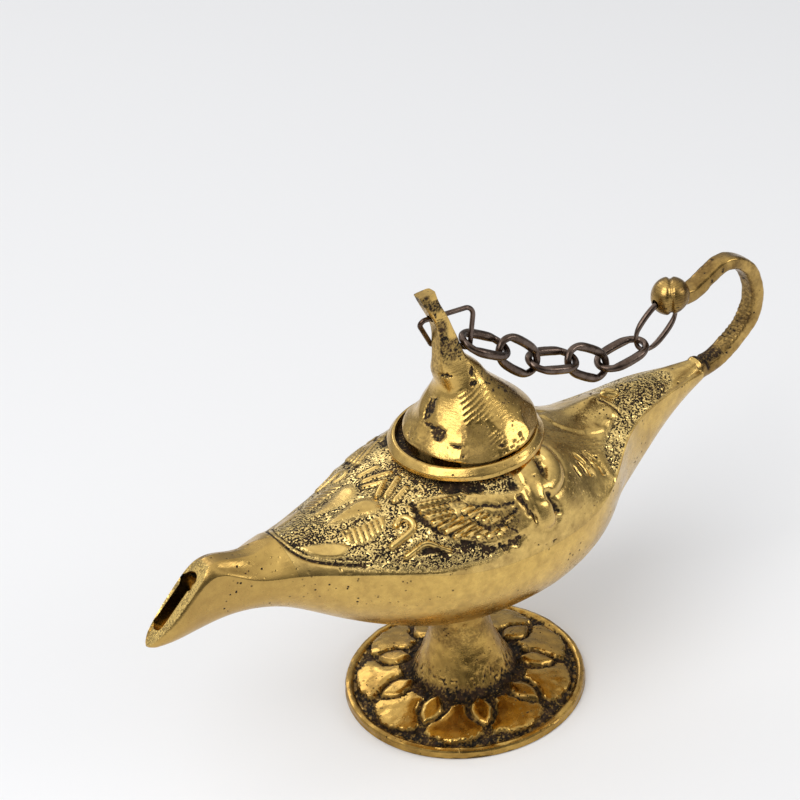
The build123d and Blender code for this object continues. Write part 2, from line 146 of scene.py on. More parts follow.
# Chain pivots in the middle plane, from the handle ring to the lid ring, with each piece's tilt and twist
chain_pivots = np.array([
    (51.289, 0.0, 59.743), (46.631, 0.0, 56.286), (36.119, 0.0, 55.332), (30.040, 0.0, 59.544),
    (20.037, 0.0, 62.914), (14.719, 0.0, 68.053), (5.672, 0.0, 73.492),
])
link_twists = (-8.0, -74.0, -18.0, -80.0, -22.0)
link_length = 11.915
link_width = 7.0
link_wire = 1.36
handle_ring_length = 11.7
handle_ring_width = 8.2
handle_ring_wire = 0.9
handle_ring_twist = -90.0
lid_ring_wire = 0.86
lid_ring_span = 12.1
lid_ring_drop = 9.4
lid_ring_behind = 2.329
lid_ring_corner_reach = 2.496
lid_ring_corner_slant = -62.0

# Foot
foot_radius = 23.0
petal_count = 9
petal_turn = 27.0

# Meshes
merge_distance = 0.002
sharp_edge_angle = np.radians(38)

# Studio and camera: directions in the frame, angles in degrees, lamps as name, place, aim, size and power
bright_side = (-0.16, 0.10, 0.98)
dark_side = (-0.42, -0.70, 0.58)
fill_light = 0.66
lamps = (
    ("key", (-0.35, -0.10, 0.50), (0, 0, 0.03), 0.50, 1.9),
    ("side", (0.42, -0.34, 0.26), (0, 0, 0.05), 0.22, 0.5),
    ("back", (0.05, 0.50, 0.35), (0, 0, 0.04), 0.20, 0.25),
)
floor_colour = (0.86, 0.865, 0.88, 1)
floor_size = 3.0
camera_place = np.array([-202.503, -298.324, 289.757])
camera_turn = -33.0
camera_rise = 32.017
camera_roll = 5.385
camera_lens = 108


def spline(knots, values, at):
    """Natural cubic spline through rows of values: one linear system gives the curvature at every knot."""
    knots = np.asarray(knots, float)
    values = np.asarray(values, float)
    at = np.clip(at, knots[0], knots[-1])
    gap = np.diff(knots)
    extra = (1,) * (values.ndim - 1)
    slope = np.diff(values, axis=0) / gap.reshape((-1,) + extra)
    count = len(knots)
    system = np.eye(count)
    right = np.zeros(values.shape)
    inner = np.arange(1, count - 1)
    system[inner, inner - 1] = gap[:-1]
    system[inner, inner] = 2 * (gap[:-1] + gap[1:])
    system[inner, inner + 1] = gap[1:]
    right[1:-1] = 6 * np.diff(slope, axis=0)
    bend = np.linalg.solve(system, right)
    cell = np.clip(np.searchsorted(knots, at) - 1, 0, count - 2)
    shape = np.shape(at) + extra
    width = gap[cell].reshape(shape)
    past = (at - knots[cell]).reshape(shape)
    left = (knots[cell + 1] - at).reshape(shape)
    cubic = (bend[cell] * left ** 3 + bend[cell + 1] * past ** 3) / (6 * width)
    near = (values[cell] / width - bend[cell] * width / 6) * left
    return cubic + near + (values[cell + 1] / width - bend[cell + 1] * width / 6) * past


def fade(low, high, value):
    """Smooth step from 0 at low to 1 at high."""
    share = np.clip((value - low) / (high - low), 0, 1)
    return share * share * (3 - 2 * share)


def grain(points, cell, seed):
    """Smooth random values from -1 to 1: a seeded lattice of cells, blended between corners."""
    size = 48
    table = np.random.default_rng(seed).random((size, size, size)) * 2 - 1
    scaled = points / cell
    base = np.floor(scaled).astype(int)
    share = scaled - base
    share = share * share * (3 - 2 * share)
    total = np.zeros(points.shape[:-1])
    for corner in np.ndindex(2, 2, 2):
        weight = np.prod(np.where(corner, share, 1 - share), axis=-1)
        index = (base + corner) % size
        total += weight * table[index[..., 0], index[..., 1], index[..., 2]]
    return total


def curve_through(points, count=60):
    """Smooth line through the points: splines of each coordinate over the distance along them."""
    points = np.asarray(points, float)
    along = np.r_[0, np.cumsum(np.linalg.norm(np.diff(points, axis=0), axis=1))]
    return spline(along, points, np.linspace(0, along[-1], count))


def line_distance(place, line):
    """Distance from each place to a line of points, and the share of the line's length at the nearest one."""
    best = np.full(place.shape[:-1], np.inf)
    share = np.zeros(place.shape[:-1])
    steps = len(line) - 1
    for index in range(steps):
        start = line[index]
        run = line[index + 1] - start
        part = np.clip(((place - start) @ run) / max(run @ run, 1e-9), 0, 1)
        away = np.linalg.norm(place - start - part[..., None] * run, axis=-1)
        nearer = away < best
        best = np.where(nearer, away, best)
        share = np.where(nearer, (index + part) / steps, share)
    return best, share


def outline_depth(place, outline):
    """Distance inside a smooth closed outline, negative outside: crossings tell the side."""
    outline = curve_through(np.vstack([outline, outline[:1]]), 4 * len(outline))
    away, _ = line_distance(place, outline)
    inside = np.zeros(place.shape[:-1], bool)
    for start, end in zip(outline[:-1], outline[1:]):
        spans = (start[1] > place[..., 1]) != (end[1] > place[..., 1])
        if start[1] == end[1]:
            continue
        cross = start[0] + (place[..., 1] - start[1]) / (end[1] - start[1]) * (end[0] - start[0])
        inside ^= spans & (place[..., 0] < cross)
    return np.where(inside, away, -away)


def grid_faces(rows, columns, wrap=False):
    """Quads of a grid of points stored row by row, closed round its columns where wrapped."""
    row = np.arange(rows - 1)[:, None]
    column = np.arange(columns if wrap else columns - 1)[None]
    after = (column + 1) % columns
    corners = [row * columns + column, row * columns + after,
               (row + 1) * columns + after, (row + 1) * columns + column]
    return np.stack([np.broadcast_to(corner, corners[0].shape) for corner in corners], -1).reshape(-1, 4)


def bridge_faces(fine, coarse):
    """Triangles between two runs of point numbers, with a whole number of fine steps per coarse one."""
    ratio = (len(fine) - 1) // (len(coarse) - 1)
    step = np.arange(len(fine) - 1)
    fans = np.stack([fine[step], fine[step + 1], coarse[step // ratio]], -1)
    turn = np.arange(len(coarse) - 1)
    joins = np.stack([fine[(turn + 1) * ratio], coarse[turn + 1], coarse[turn]], -1)
    return np.vstack([fans, joins])


def fold_faces(run):
    """Quads that close a run of point numbers onto itself, each point with its mirror in the run."""
    half = (len(run) - 1) // 2
    step = np.arange(half)
    last = len(run) - 1
    return np.stack([run[step], run[step + 1], run[last - step - 1], run[last - step]], -1)


def normals(grid, wrap=False):
    """Unit normals of a grid surface, from the cross product of its two directions."""
    if wrap:
        around = np.roll(grid, -1, 1) - np.roll(grid, 1, 1)
    else:
        around = np.gradient(grid, axis=1)
    along = np.gradient(grid, axis=0)
    normal = np.cross(along, around)
    return normal / np.maximum(np.linalg.norm(normal, axis=-1, keepdims=True), 1e-9)


class Shell:
    """Points, faces and marks of one piece, gathered from several surfaces."""

    def __init__(self):
        self.points = []
        self.faces = []
        self.marks = []
        self.count = 0

    def add(self, points, dark=0.0, polish=0.0, crust=0.0):
        """Adds a grid of points with its patina and painted shade, polish and crust, and returns their numbers.
        """
        flat = points.reshape(-1, 3)
        shape = points.shape[:-1]
        marks = np.stack([np.broadcast_to(mark, shape) for mark in (dark, polish, crust)], -1)
        numbers = self.count + np.arange(len(flat)).reshape(shape)
        self.points.append(flat)
        self.marks.append(marks.reshape(-1, 3))
        self.count += len(flat)
        return numbers

    def surface(self, points, dark=0.0, polish=0.0, crust=0.0, wrap=False):
        """Adds a grid of points and the quads between them."""
        numbers = self.add(points, dark, polish, crust)
        self.faces.append(numbers.ravel()[grid_faces(*numbers.shape, wrap)])
        return numbers

    def mesh(self, name):
        """Mesh with coinciding points merged and all faces turned outwards."""
        points = np.vstack(self.points)
        marks = np.vstack(self.marks)
        sizes = np.concatenate([np.full(len(block), block.shape[1]) for block in self.faces])
        corners = np.concatenate([block.ravel() for block in self.faces])
        made = bpy.data.meshes.new(name)
        made.vertices.add(len(points))
        made.vertices.foreach_set("co", (points * MM).ravel())
        made.loops.add(len(corners))
        made.loops.foreach_set("vertex_index", corners)
        made.polygons.add(len(sizes))
        made.polygons.foreach_set("loop_start", np.r_[0, np.cumsum(sizes)[:-1]])
        for column, label in enumerate(("patina_and_shade", "polish", "crust")):
            layer = made.attributes.new(label, "FLOAT", "POINT")
            layer.data.foreach_set("value", marks[:, column])
        made.update(calc_edges=True)
        made.validate()
        tidy = bmesh.new()
        tidy.from_mesh(made)
        bmesh.ops.remove_doubles(tidy, verts=tidy.verts, dist=merge_distance * MM)
        bmesh.ops.recalc_face_normals(tidy, faces=tidy.faces)
        tidy.to_mesh(made)
        tidy.free()
        return made


def place_piece(name, mesh, body, nodes, material):
    """Shows a mesh as one piece that rides on a body and stands for its CAD nodes."""
    piece = bpy.data.objects.new(name, mesh)
    bpy.context.scene.collection.objects.link(piece)
    mesh.set_sharp_from_angle(angle=sharp_edge_angle)
    mesh.materials.clear()
    mesh.materials.append(material)
    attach(piece, body)
    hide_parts(*nodes)
    return piece


def carve(mesh, cutter_mesh, operation="DIFFERENCE"):
    """Mesh after an exact boolean with a second mesh."""
    block = bpy.data.objects.new("block", mesh)
    cutter = bpy.data.objects.new("cutter", cutter_mesh)
    bpy.context.scene.collection.objects.link(block)
    bpy.context.scene.collection.objects.link(cutter)
    cut = block.modifiers.new("cut", "BOOLEAN")
    cut.operation = operation
    cut.solver = "EXACT"
    cut.object = cutter
    shaped = block.evaluated_get(bpy.context.evaluated_depsgraph_get())
    made = bpy.data.meshes.new_from_object(shaped)
    bpy.data.objects.remove(block)
    bpy.data.objects.remove(cutter)
    return made


def hull_sizes(x):
    """Half width, seam, crest and keel heights and boxiness at x, from splines through the stations."""
    shares = spline(station_x, body_station_shares[:, 1:], x)
    heights = foot_height + shares[:, 1:4] * body_height
    return shares[:, 0] * body_half_width, heights[:, 0], heights[:, 1], heights[:, 2], shares[:, 4]


def crest_curve(x, across, inset):
    """Upper hull: y is the half width times across, and z rises over the seam by (1-|across|^p)^(1/q)."""
    half_width, seam, crest, _, boxiness = hull_sizes(x)
    power = (1.25 + 2.75 * boxiness)[:, None]
    root = (1 + 1.1 * boxiness)[:, None]
    rise = np.maximum(crest - inset - seam, 0.05)[:, None]
    reach = np.maximum(half_width - inset, 0.05)[:, None]
    z = seam[:, None] + rise * (1 - np.abs(across) ** power) ** (1 / root)
    return np.stack([np.broadcast_to(x[:, None], z.shape), reach * across, z], -1)


def keel_curve(x, angle, inset):
    """Lower hull: a superellipse that hangs under the seam."""
    half_width, seam, _, keel, _ = hull_sizes(x)
    reach = np.maximum(half_width - inset, 0.05)[:, None]
    depth = np.maximum(seam - keel - inset, 0.05)[:, None]
    side = np.sign(np.cos(angle)) * np.abs(np.cos(angle)) ** (2 / bowl_roundness)
    z = seam[:, None] - depth * np.abs(np.sin(angle)) ** (2 / bowl_roundness)
    return np.stack([np.broadcast_to(x[:, None], z.shape), reach * side, z], -1)


class Relief:
    """Heights, patina and crust over a surface map, where cast shapes are raised and grooves are sunk."""

    def __init__(self, place):
        self.place = place
        self.height = np.zeros(place.shape[:-1])
        self.dark = np.zeros(place.shape[:-1])
        self.crust = np.zeros(place.shape[:-1])
        self.polish = np.zeros(place.shape[:-1])

    def ground(self, outline, depth, rough, edge=0.9):
        """Sinks the area in an outline and stipples it."""
        inside = fade(-edge, edge, outline_depth(self.place, outline))
        self.height -= inside * depth * (0.5 + 0.6 * fade(-0.3, 0.6, rough))
        self.crust = np.maximum(self.crust, inside)

    def shape(self, outline, height, edge=0.5):
        """Raises the area in an outline to a smooth height and clears its crust."""
        inside = fade(-0.1, edge, outline_depth(self.place, outline))
        self.height = self.height * (1 - inside) + height * inside
        self.dark *= 1 - inside
        self.crust *= 1 - inside
        self.polish = np.maximum(self.polish, 0.5 * inside)

    def hollow(self, outline, depth, dark, ragged=0.0):
        """Sinks the area in an outline and fills it with patina."""
        inside = fade(-0.25, 0.35, outline_depth(self.place, outline) + ragged)
        self.height = self.height * (1 - inside) - depth * inside
        self.dark = np.maximum(self.dark * (1 - inside), dark * inside)

    def rod(self, points, radius, height, taper=0.0, shade=0.5):
        """Raises a rounded rod along a smooth line, with patina at its foot on the low side."""
        away, share = line_distance(self.place, curve_through(points))
        reach = radius * (1 - taper * share)
        dome = np.sqrt(np.clip(1 - (away / reach) ** 2, 0, 1))
        inside = fade(1.3, 0.95, away / reach)
        self.height = np.where(dome > 0, np.maximum(self.height, height * dome), self.height)
        moat = np.exp(-((away - reach * 1.25) / (0.22 + 0.12 * radius)) ** 2)
        self.height -= 0.12 * moat
        self.dark = np.maximum(self.dark * (1 - inside), shade * moat * (1 - inside))
        self.crust *= 1 - inside
        self.polish = np.maximum(self.polish, inside)

    def cut(self, points, radius, depth, dark=1.0, ragged=0.0):
        """Sinks a groove along a smooth line, with patina in it."""
        away, _ = line_distance(self.place, curve_through(points))
        groove = np.exp(-(np.maximum(away + ragged, 0) / radius) ** 2)
        self.height -= depth * groove
        self.dark = np.maximum(self.dark, dark * fade(0.3, 0.8, groove))


# Places on the deck are pairs: x, and the distance across the surface from its crest
relief_edge = [(-37.2, 0.0), (-36.8, 2.6), (-35.4, 6.0), (-33.4, 8.0), (-29.6, 10.6), (-26.5, 12.6)]
front_ground = [(-36.6, -1.0), (-36.2, 3.0), (-34.6, 6.3), (-32.0, 8.7), (-29.0, 11.6), (-24.0, 15.2),
                (-18.0, 19.6), (-13.0, 22.4), (-8.0, 24.4), (-4.0, 25.2), (-4.4, 23.0), (-9.0, 20.4),
                (-13.0, 15.0), (-13.4, 9.0), (-6.0, 11.8), (-1.6, 14.8), (3.8, 16.6), (3.0, 11.0),
                (-2.0, 8.0), (-8.0, -1.0)]
finger = [(-35.2, 3.6), (-31.2, 4.9), (-27.8, 6.9), (-26.9, 8.3), (-28.2, 9.5), (-31.0, 9.0), (-34.0, 6.6)]
beetle_back = [(-29.6, 2.2), (-26.4, 1.0), (-22.4, 0.2), (-19.0, 0.5), (-17.4, 2.6), (-17.6, 5.0),
               (-19.2, 6.3), (-22.0, 5.2), (-25.6, 4.0)]
beetle_wing = [(-26.8, 4.4), (-22.4, 5.8), (-18.6, 7.2), (-19.4, 8.8), (-22.2, 9.6), (-25.6, 9.2),
               (-27.2, 7.0)]
crook = [(-18.2, 9.8), (-16.6, 9.4), (-15.8, 10.4), (-16.0, 12.0), (-17.8, 12.5), (-20.8, 12.6)]
peak = [(-19.6, 15.6), (-17.4, 15.6), (-15.6, 15.9), (-14.2, 17.6), (-12.6, 19.4)]
peak_shade = [(-16.8, 16.6), (-15.0, 17.6), (-13.6, 19.4)]
wing = [(-13.6, 8.6), (-13.8, 12.0), (-12.4, 16.2), (-9.6, 20.2), (-6.0, 22.8), (-2.4, 24.2), (0.8, 24.6),
        (4.4, 23.4), (3.6, 19.0), (2.4, 18.0), (-1.8, 17.0), (-5.2, 14.4), (-8.0, 12.2), (-11.0, 9.8)]
feathers = [
    [(-13.4, 9.2), (-5.8, 12.8)], [(-13.2, 10.7), (-9.2, 12.6)], [(-13.1, 12.2), (-9.0, 14.0)],
    [(-12.9, 13.8), (-9.2, 15.0)], [(-12.2, 15.2), (-8.0, 16.1)], [(-11.6, 16.3), (-7.2, 17.3)],
    [(-10.6, 18.0), (-6.6, 18.1)], [(-9.4, 19.3), (-5.8, 19.2)], [(-6.8, 20.6), (-5.0, 20.3)],
    [(-5.0, 21.4), (-3.0, 21.3)], [(-3.0, 22.3), (-1.3, 21.7)], [(-7.0, 15.2), (-5.2, 15.4)],
    [(-6.4, 16.5), (-4.4, 16.7)], [(-5.4, 17.6), (-3.8, 17.9)], [(-4.6, 18.6), (-3.2, 18.8)],
    [(-3.4, 19.4), (-1.9, 19.6)], [(-0.9, 20.8), (0.5, 20.5)],
]
wing_lines = [
    [(-6.6, 12.6), (-6.2, 14.0), (-5.0, 15.3), (-4.0, 16.1), (-2.5, 16.9), (-1.5, 17.7),
     (0.5, 18.2), (1.7, 18.5)],
    [(-6.0, 18.2), (-5.2, 19.6), (-4.0, 20.4), (-2.1, 20.9), (-0.9, 21.9), (0.5, 23.6)],
    [(-1.9, 20.6), (0.1, 20.2), (1.7, 19.9)],
]
wing_under = [(-13.6, 8.1), (-14.2, 10.1), (-13.8, 12.6), (-13.2, 14.9), (-12.0, 17.0), (-10.8, 18.9),
              (-7.8, 21.5),
              (-5.6, 23.5), (-2.8, 24.7), (1.7, 24.9)]
wing_end = [(3.5, 18.4), (3.8, 20.2), (4.9, 22.7)]
bars = [[(-16.8, 2.1), (-13.2, -0.5)], [(-15.8, 3.4), (-11.6, 1.2)], [(-15.4, 5.5), (-12.2, 4.5)]]
recess = [(-6.4, 6.7), (-4.6, 7.5), (-3.4, 9.5), (-1.7, 12.0), (-1.3, 13.7), (-2.8, 14.0), (-5.2, 12.1),
          (-7.4, 11.1),
          (-7.6, 8.8)]
recess_corner = [(3.3, 13.8), (4.2, 16.9), (2.5, 16.4)]
rib = [(8.2, 11.0), (7.8, 14.5), (7.4, 17.3), (7.2, 20.2), (7.2, 23.6)]
rib_branch = [(7.5, 18.2), (9.6, 18.0), (12.2, 16.6), (13.8, 13.8), (13.6, 11.0)]
rib_pocket = [(10.3, 12.4), (11.2, 12.2), (11.6, 13.6), (11.2, 15.4), (10.0, 16.8), (9.6, 15.4)]
low_pocket = [(9.0, 19.4), (9.5, 21.0), (10.2, 22.8)]
tail_ground = [(34.8, 5.8), (36.8, 5.4), (36.6, 2.2), (39.5, -1.0), (53.0, -1.0), (51.0, 3.4), (46.0, 6.2),
               (42.2, 8.0), (36.0, 11.6), (30.8, 15.0), (28.0, 16.4), (27.4, 13.0), (30.2, 9.0)]
tail_plate = [(20.4, 1.0), (24.5, -1.6), (30.0, -1.6), (35.6, 0.6), (36.2, 3.4), (34.4, 6.4), (30.4, 7.6),
              (25.1, 6.6), (21.2, 4.4)]
plate_dimple = [(31.2, 5.6), (33.6, 4.7), (34.4, 6.2), (32.2, 6.6)]
plate_line = [(34.7, 1.4), (36.3, 4.3), (36.5, 5.6)]
tail_groove = [(42.9, 8.2), (40.1, 9.4), (36.5, 11.5), (32.7, 13.6), (30.9, 15.0), (28.5, 17.5), (27.1, 18.6)]
tail_bump = [(36.3, -1.1), (37.3, 0.1), (38.3, 1.0)]
striated = [(18.0, 5.6), (24.1, 6.4), (29.5, 8.9), (27.2, 12.0), (20.7, 10.4), (16.1, 8.5)]
drapery = [[(20.9, 11.8), (21.9, 13.5), (22.1, 16.0)], [(23.7, 10.9), (25.1, 13.6), (25.3, 15.7)]]
drapery_shade = [[(20.3, 13.8), (20.9, 15.9)], [(22.6, 11.6), (23.6, 14.2)], [(18.4, 14.6), (18.8, 16.6)]]


def beetle_hatching(relief):
    """Fine ridges across the beetle's folded wing."""
    inside = fade(0.1, 0.6, outline_depth(relief.place, beetle_wing))
    ridge = np.sin((relief.place[..., 0] * 0.95 + relief.place[..., 1] * 0.3) * 2 * np.pi / 1.05)
    relief.height += inside * 0.13 * ridge
    relief.dark = np.maximum(relief.dark, 0.8 * inside * fade(-0.35, -0.8, ridge))


def carve_wing(relief, wander):
    """Folded wing: a smooth panel with raised feather strokes, black between them and under its edge."""
    relief.shape(wing, 0.1, 0.7)
    spread = line_distance(relief.place,
                           np.array([(-13.0, 11.0), (-9.6, 15.6), (-5.2, 17.6), (-1.2, 20.6)]))[0]
    between = fade(4.6, 3.0, spread + wander) * fade(-14.0, -11.6, relief.place[..., 0])
    relief.height -= 0.1 * between
    relief.dark = np.maximum(relief.dark, 0.62 * between * fade(-0.35, 0.1, wander))
    for feather in feathers:
        relief.rod(feather, 0.5, 0.4, 0.35, 0.85)
    for line in wing_lines:
        relief.cut(line, 0.3, 0.22, 1.0, wander * 0.3)
    relief.cut(wing_under, 0.62, 0.42, 1.0, wander * 0.8)
    relief.cut(wing_end, 0.6, 0.4, 1.0, wander * 0.4)


def carve_relief(points, across):
    """Heights, patina and crust of the whole deck. The far side carries the same cast, worn low."""
    near = fade(2.5, -0.5, points[..., 1])
    relief = Relief(np.stack([points[..., 0], np.abs(across)], -1))
    rough = 0.75 * grain(points, 0.62, 11) + 0.45 * grain(points, 1.7, 12)
    wander = grain(points, 0.7, 13)
    relief.ground(front_ground, 0.3, rough)
    relief.ground(tail_ground, 0.34, rough)
    relief.cut(relief_edge, 0.42, 0.38)
    relief.cut([(x + 1.0, c - 0.5) for x, c in relief_edge], 0.3, 0.25, 0.85)
    relief.shape(finger, 0.12, 0.9)
    relief.shape(beetle_wing, 0.05, 0.6)
    beetle_hatching(relief)
    relief.shape(beetle_back, 0.38, 1.6)
    relief.hollow(recess, 0.55, 1.0, wander * 0.4)
    relief.hollow(recess_corner, 0.4, 0.95, wander * 0.2)
    carve_wing(relief, wander)
    relief.rod(crook, 0.62, 0.42)
    relief.rod(peak, 0.5, 0.36, 0.2)
    relief.cut(peak_shade, 0.65, 0.34, 1.0, wander * 0.3)
    for bar in bars:
        relief.rod(bar, 0.55, 0.3, 0.0, 0.95)
    relief.rod(rib, 2.5, 0.7, 0.25, 0.0)
    relief.rod(rib_branch, 1.9, 0.6, 0.2, 0.0)
    relief.hollow(rib_pocket, 0.85, 1.0, wander * 0.15)
    relief.cut(low_pocket, 0.7, 0.6, 1.0, wander * 0.3)
    relief.shape(tail_plate, 0.26, 0.9)
    relief.cut(plate_dimple, 0.75, 0.25, 0.35)
    relief.cut(plate_line, 0.3, 0.3, 1.0, wander * 0.1)
    relief.cut(tail_groove, 0.62, 0.5, 1.0, wander * 0.9)
    relief.rod(tail_bump, 1.0, 0.6, 0.0, 0.3)
    banded = fade(0.0, 0.8, outline_depth(relief.place, striated))
    stripe = np.sin(relief.place[..., 1] * 2 * np.pi / 0.8 + 2 * wander)
    relief.height += 0.06 * banded * stripe
    relief.dark = np.maximum(relief.dark, banded * (0.42 + 0.2 * stripe))
    for fold in drapery:
        relief.rod(fold, 0.5, 0.3, 0.3, 0.2)
    for fold in drapery_shade:
        relief.cut(fold, 0.45, 0.3, 0.95, np.abs(wander) * 0.4)
    scattered = fade(0.62, 0.86, grain(points, 0.85, 14)) * fade(-0.2, 0.6, grain(points, 5.0, 15))
    relief.height -= 0.16 * scattered
    relief.dark = np.maximum(relief.dark, 0.95 * scattered)
    x = points[..., 0]
    worn = 0.35 + 0.65 * near
    relief.height -= 1.2 * (1 - near) * fade(-38.5, -33, x) * fade(-12, -19, x)
    relief.height -= 0.75 * fade(42, 52, x) * fade(0, 6, relief.place[..., 1] + 4)
    return relief.height * worn, np.clip(relief.dark, 0, 1), relief.polish, relief.crust


def make_deck(material):
    """Upper hull from its front edge to the tail: a carved outer surface, closed by the inner one."""
    rows, fine, coarse = 440, 181, 13
    x = np.linspace(deck_front_x + shown_seam, tail_reach, rows)
    angle = np.linspace(0, np.pi, fine)[None]
    outer = crest_curve(x, np.cos(angle), 0)
    step = np.linalg.norm(np.diff(outer, axis=1), axis=-1)
    across = np.concatenate([np.zeros((rows, 1)), np.cumsum(step, axis=1)], 1)
    across -= across[:, fine // 2:fine // 2 + 1]
    height, dark, polish, crust = carve_relief(outer, across)
    edge = fade(0, 0.9, across[:, -1:] - np.abs(across))
    ends = (fade(0, 0.6, x - x[0]) * fade(0, 0.6, x[-1] - x))[:, None]
    outward = normals(outer)
    outward *= np.sign(outward[..., 2:].sum())
    outer = outer + outward * (height * edge * ends)[..., None]
    outer[..., 2] += shown_seam
    back = np.linspace(0, np.pi, coarse)[None]
    inner = crest_curve(x, np.cos(back), body_wall)
    inner[..., 2] += shown_seam
    shell = Shell()
    skin = shell.surface(outer, dark * edge, polish * edge, crust * edge)
    # The inner surface is painted dark: painted shade inside the hollow hull.
    lining = shell.add(inner, 0.6)
    hollow_rows = np.count_nonzero(x <= cavity_tail_x)
    shell.faces.append(lining.ravel()[grid_faces(hollow_rows, coarse)])
    for side in (0, -1):
        rim = np.stack([skin[:, side], lining[:, side]], -1)
        shell.faces.append(rim.ravel()[grid_faces(rows, 2)])
    tail = lining[hollow_rows - 1:, [0, -1]]
    shell.faces.append(tail.ravel()[grid_faces(len(tail), 2)])
    shell.faces.append(fold_faces(lining[hollow_rows - 1]))
    shell.faces.append(bridge_faces(skin[0], lining[0]))
    shell.faces.append(bridge_faces(skin[-1], np.array([lining[-1, 0], lining[-1, -1]])))
    mesh = carve(shell.mesh("deck"), post_mesh(collar_x, collar_neck_radius + 0.1, 40.0, 60.0))
    return place_piece("deck_relief", mesh, "lamp", ["upper_deck"], material)


def post_mesh(x, radius, bottom, top):
    """Upright round post, used to bore holes."""
    angle = np.linspace(0, 2 * np.pi, 96, endpoint=False)
    ring = np.stack([x + radius * np.cos(angle), radius * np.sin(angle)], -1)
    rows = []
    for scale, z in ((0, bottom), (1, bottom), (1, top), (0, top)):
        middle = np.array([x, 0.0])
        rows.append(np.concatenate([middle + (ring - middle) * scale, np.full((96, 1), z)], 1))
    shell = Shell()
    # Its faces are painted black, and the walls it bores keep that: painted shade inside the hole.
    shell.surface(np.stack(rows), 1.0, wrap=True)
    return shell.mesh("post")


def mouth_plane(x):
    """Height of the spout's slanted mouth at x."""
    return mouth_nose_z + (x - mouth_nose_x) * np.tan(np.radians(mouth_slope))


def spout_top(x, inset, steps_side, steps_top):
    """Upper spout: the crest curve cut flat by the mouth and the filed top, with columns on the edges."""
    half_width, seam, crest, _, boxiness = hull_sizes(x)
    power = 1.25 + 2.75 * boxiness
    root = 1 + 1.1 * boxiness
    rise = np.maximum(crest - inset - seam, 0.05)
    filed = crest - inset - 0.5 * fade(-37.6, -44.0, x) - 0.02
    level = np.minimum(mouth_plane(x) - inset / np.cos(np.radians(mouth_slope)), filed)
    share = np.clip((level - seam) / rise, 0.02, 1)
    edge = (1 - share ** root) ** (1 / power)
    side = np.linspace(0, np.pi / 2, steps_side + 1)
    side = 1 + (edge[:, None] - 1) * np.sin(side)[None] ** 2
    top = edge[:, None] * np.linspace(1, -1, steps_top + 1)[None, 1:-1]
    across = np.concatenate([side, top, -side[:, ::-1]], 1)
    points = crest_curve(x, across, inset)
    points[..., 2] = np.minimum(points[..., 2], np.maximum(level, seam + 0.02)[:, None])
    return points, edge


def draw_in(points):
    """Narrows the far side of the spout towards its mouth."""
    share = fade(0.0, 1.2, points[..., 1]) * fade(-39.0, -47.0, points[..., 0])
    points[..., 1] *= 1 - 0.26 * share
    return points


def spout_skin(spout_x):
    """Upper spout, fluted on each side and drawn in on its far side. Also marks of mouth and flank."""
    upper, edge = spout_top(spout_x, 0, 24, 16)
    across = np.abs(upper[..., 1]) / np.maximum(np.abs(upper[:, :1, 1]), 0.1)
    side_share = np.clip((across - edge[:, None]) / (1 - edge[:, None]), 0, 1)
    flute = np.sin(np.pi * side_share) ** 2 * (
        fade(-51.3, -49.0, spout_x) * fade(-37.5, -40.5, spout_x))[:, None]
    upper[..., 1] *= 1 - 0.055 * flute
    upper[..., 2] -= 0.32 * flute
    far = fade(0.3, 2.3, upper[..., 1]) * fade(-38.5, -44.0, spout_x)[:, None]
    upper[..., 2] -= 0.4 * far * fade(1.0, 0.8, across)
    on_mouth = ((spout_x < mouth_nose_x - 0.2)[:, None] * (across < edge[:, None] + 0.02)).astype(float)
    flank = ((side_share > 0.01) * (spout_x > mouth_nose_x)[:, None]).astype(float)
    return draw_in(upper), on_mouth, flank


def round_tip(spout_x, upper, lower):
    """Draws the spout's first rows in towards their middle height, along a quarter circle."""
    middle = 0.5 * (upper[..., 2].max(1) + lower[..., 2].min(1))
    share = np.clip((spout_x + spout_reach) / 1.6, 0, 1)
    scale = np.sqrt(1 - (1 - share) ** 2)[:, None]
    for part in (upper, lower):
        part[..., 1] *= scale
        part[..., 2] = middle[:, None] + (part[..., 2] - middle[:, None]) * scale


def cast_hull(lower, x, angle):
    """Lower hull with slow waves, a fuller belly and pits, and its patina. Its edges stay in place."""
    outward = normals(lower)
    outward *= -np.sign(outward[..., 2:].sum())
    calm = np.sin(angle) ** 0.5 * fade(0, 6, x + spout_reach)[:, None] * fade(0, 4, tail_reach - x)[:, None]
    pits = fade(0.78, 0.9, grain(lower, 1.2, 22)) * fade(0.1, 0.6, grain(lower, 7.0, 23))
    along = np.exp(-((x - belly_fill_x) / 9) ** 2)[:, None]
    full = belly_fill * along * fade(0.12, 0.3, angle) * fade(0.85, 0.55, angle)
    push = 0.05 * grain(lower, 9.0, 21) + full - 0.05 - 0.12 * pits
    return lower + outward * (push * calm)[..., None], pits * calm


def close_bowl(shell, skin, lining, front, last):
    """Seam rims between the outer skin and the lining, and the solid tail end."""
    front_row = front - (last + 1 - len(lining))
    for side in (0, -1):
        rim = np.stack([skin[front:last + 1, side], lining[front_row:, side]], -1)
        shell.faces.append(rim.ravel()[grid_faces(len(rim), 2)])
    tail = np.stack([skin[last:, 0], skin[last:, -1]], -1)
    shell.faces.append(tail.ravel()[grid_faces(len(tail), 2)])
    shell.faces.append(np.array([[skin[last, 0], lining[-1, 0], lining[-1, -1], skin[last, -1]]]))
    shell.faces.append(fold_faces(lining[-1]))
    shell.faces.append(fold_faces(skin[-1]))


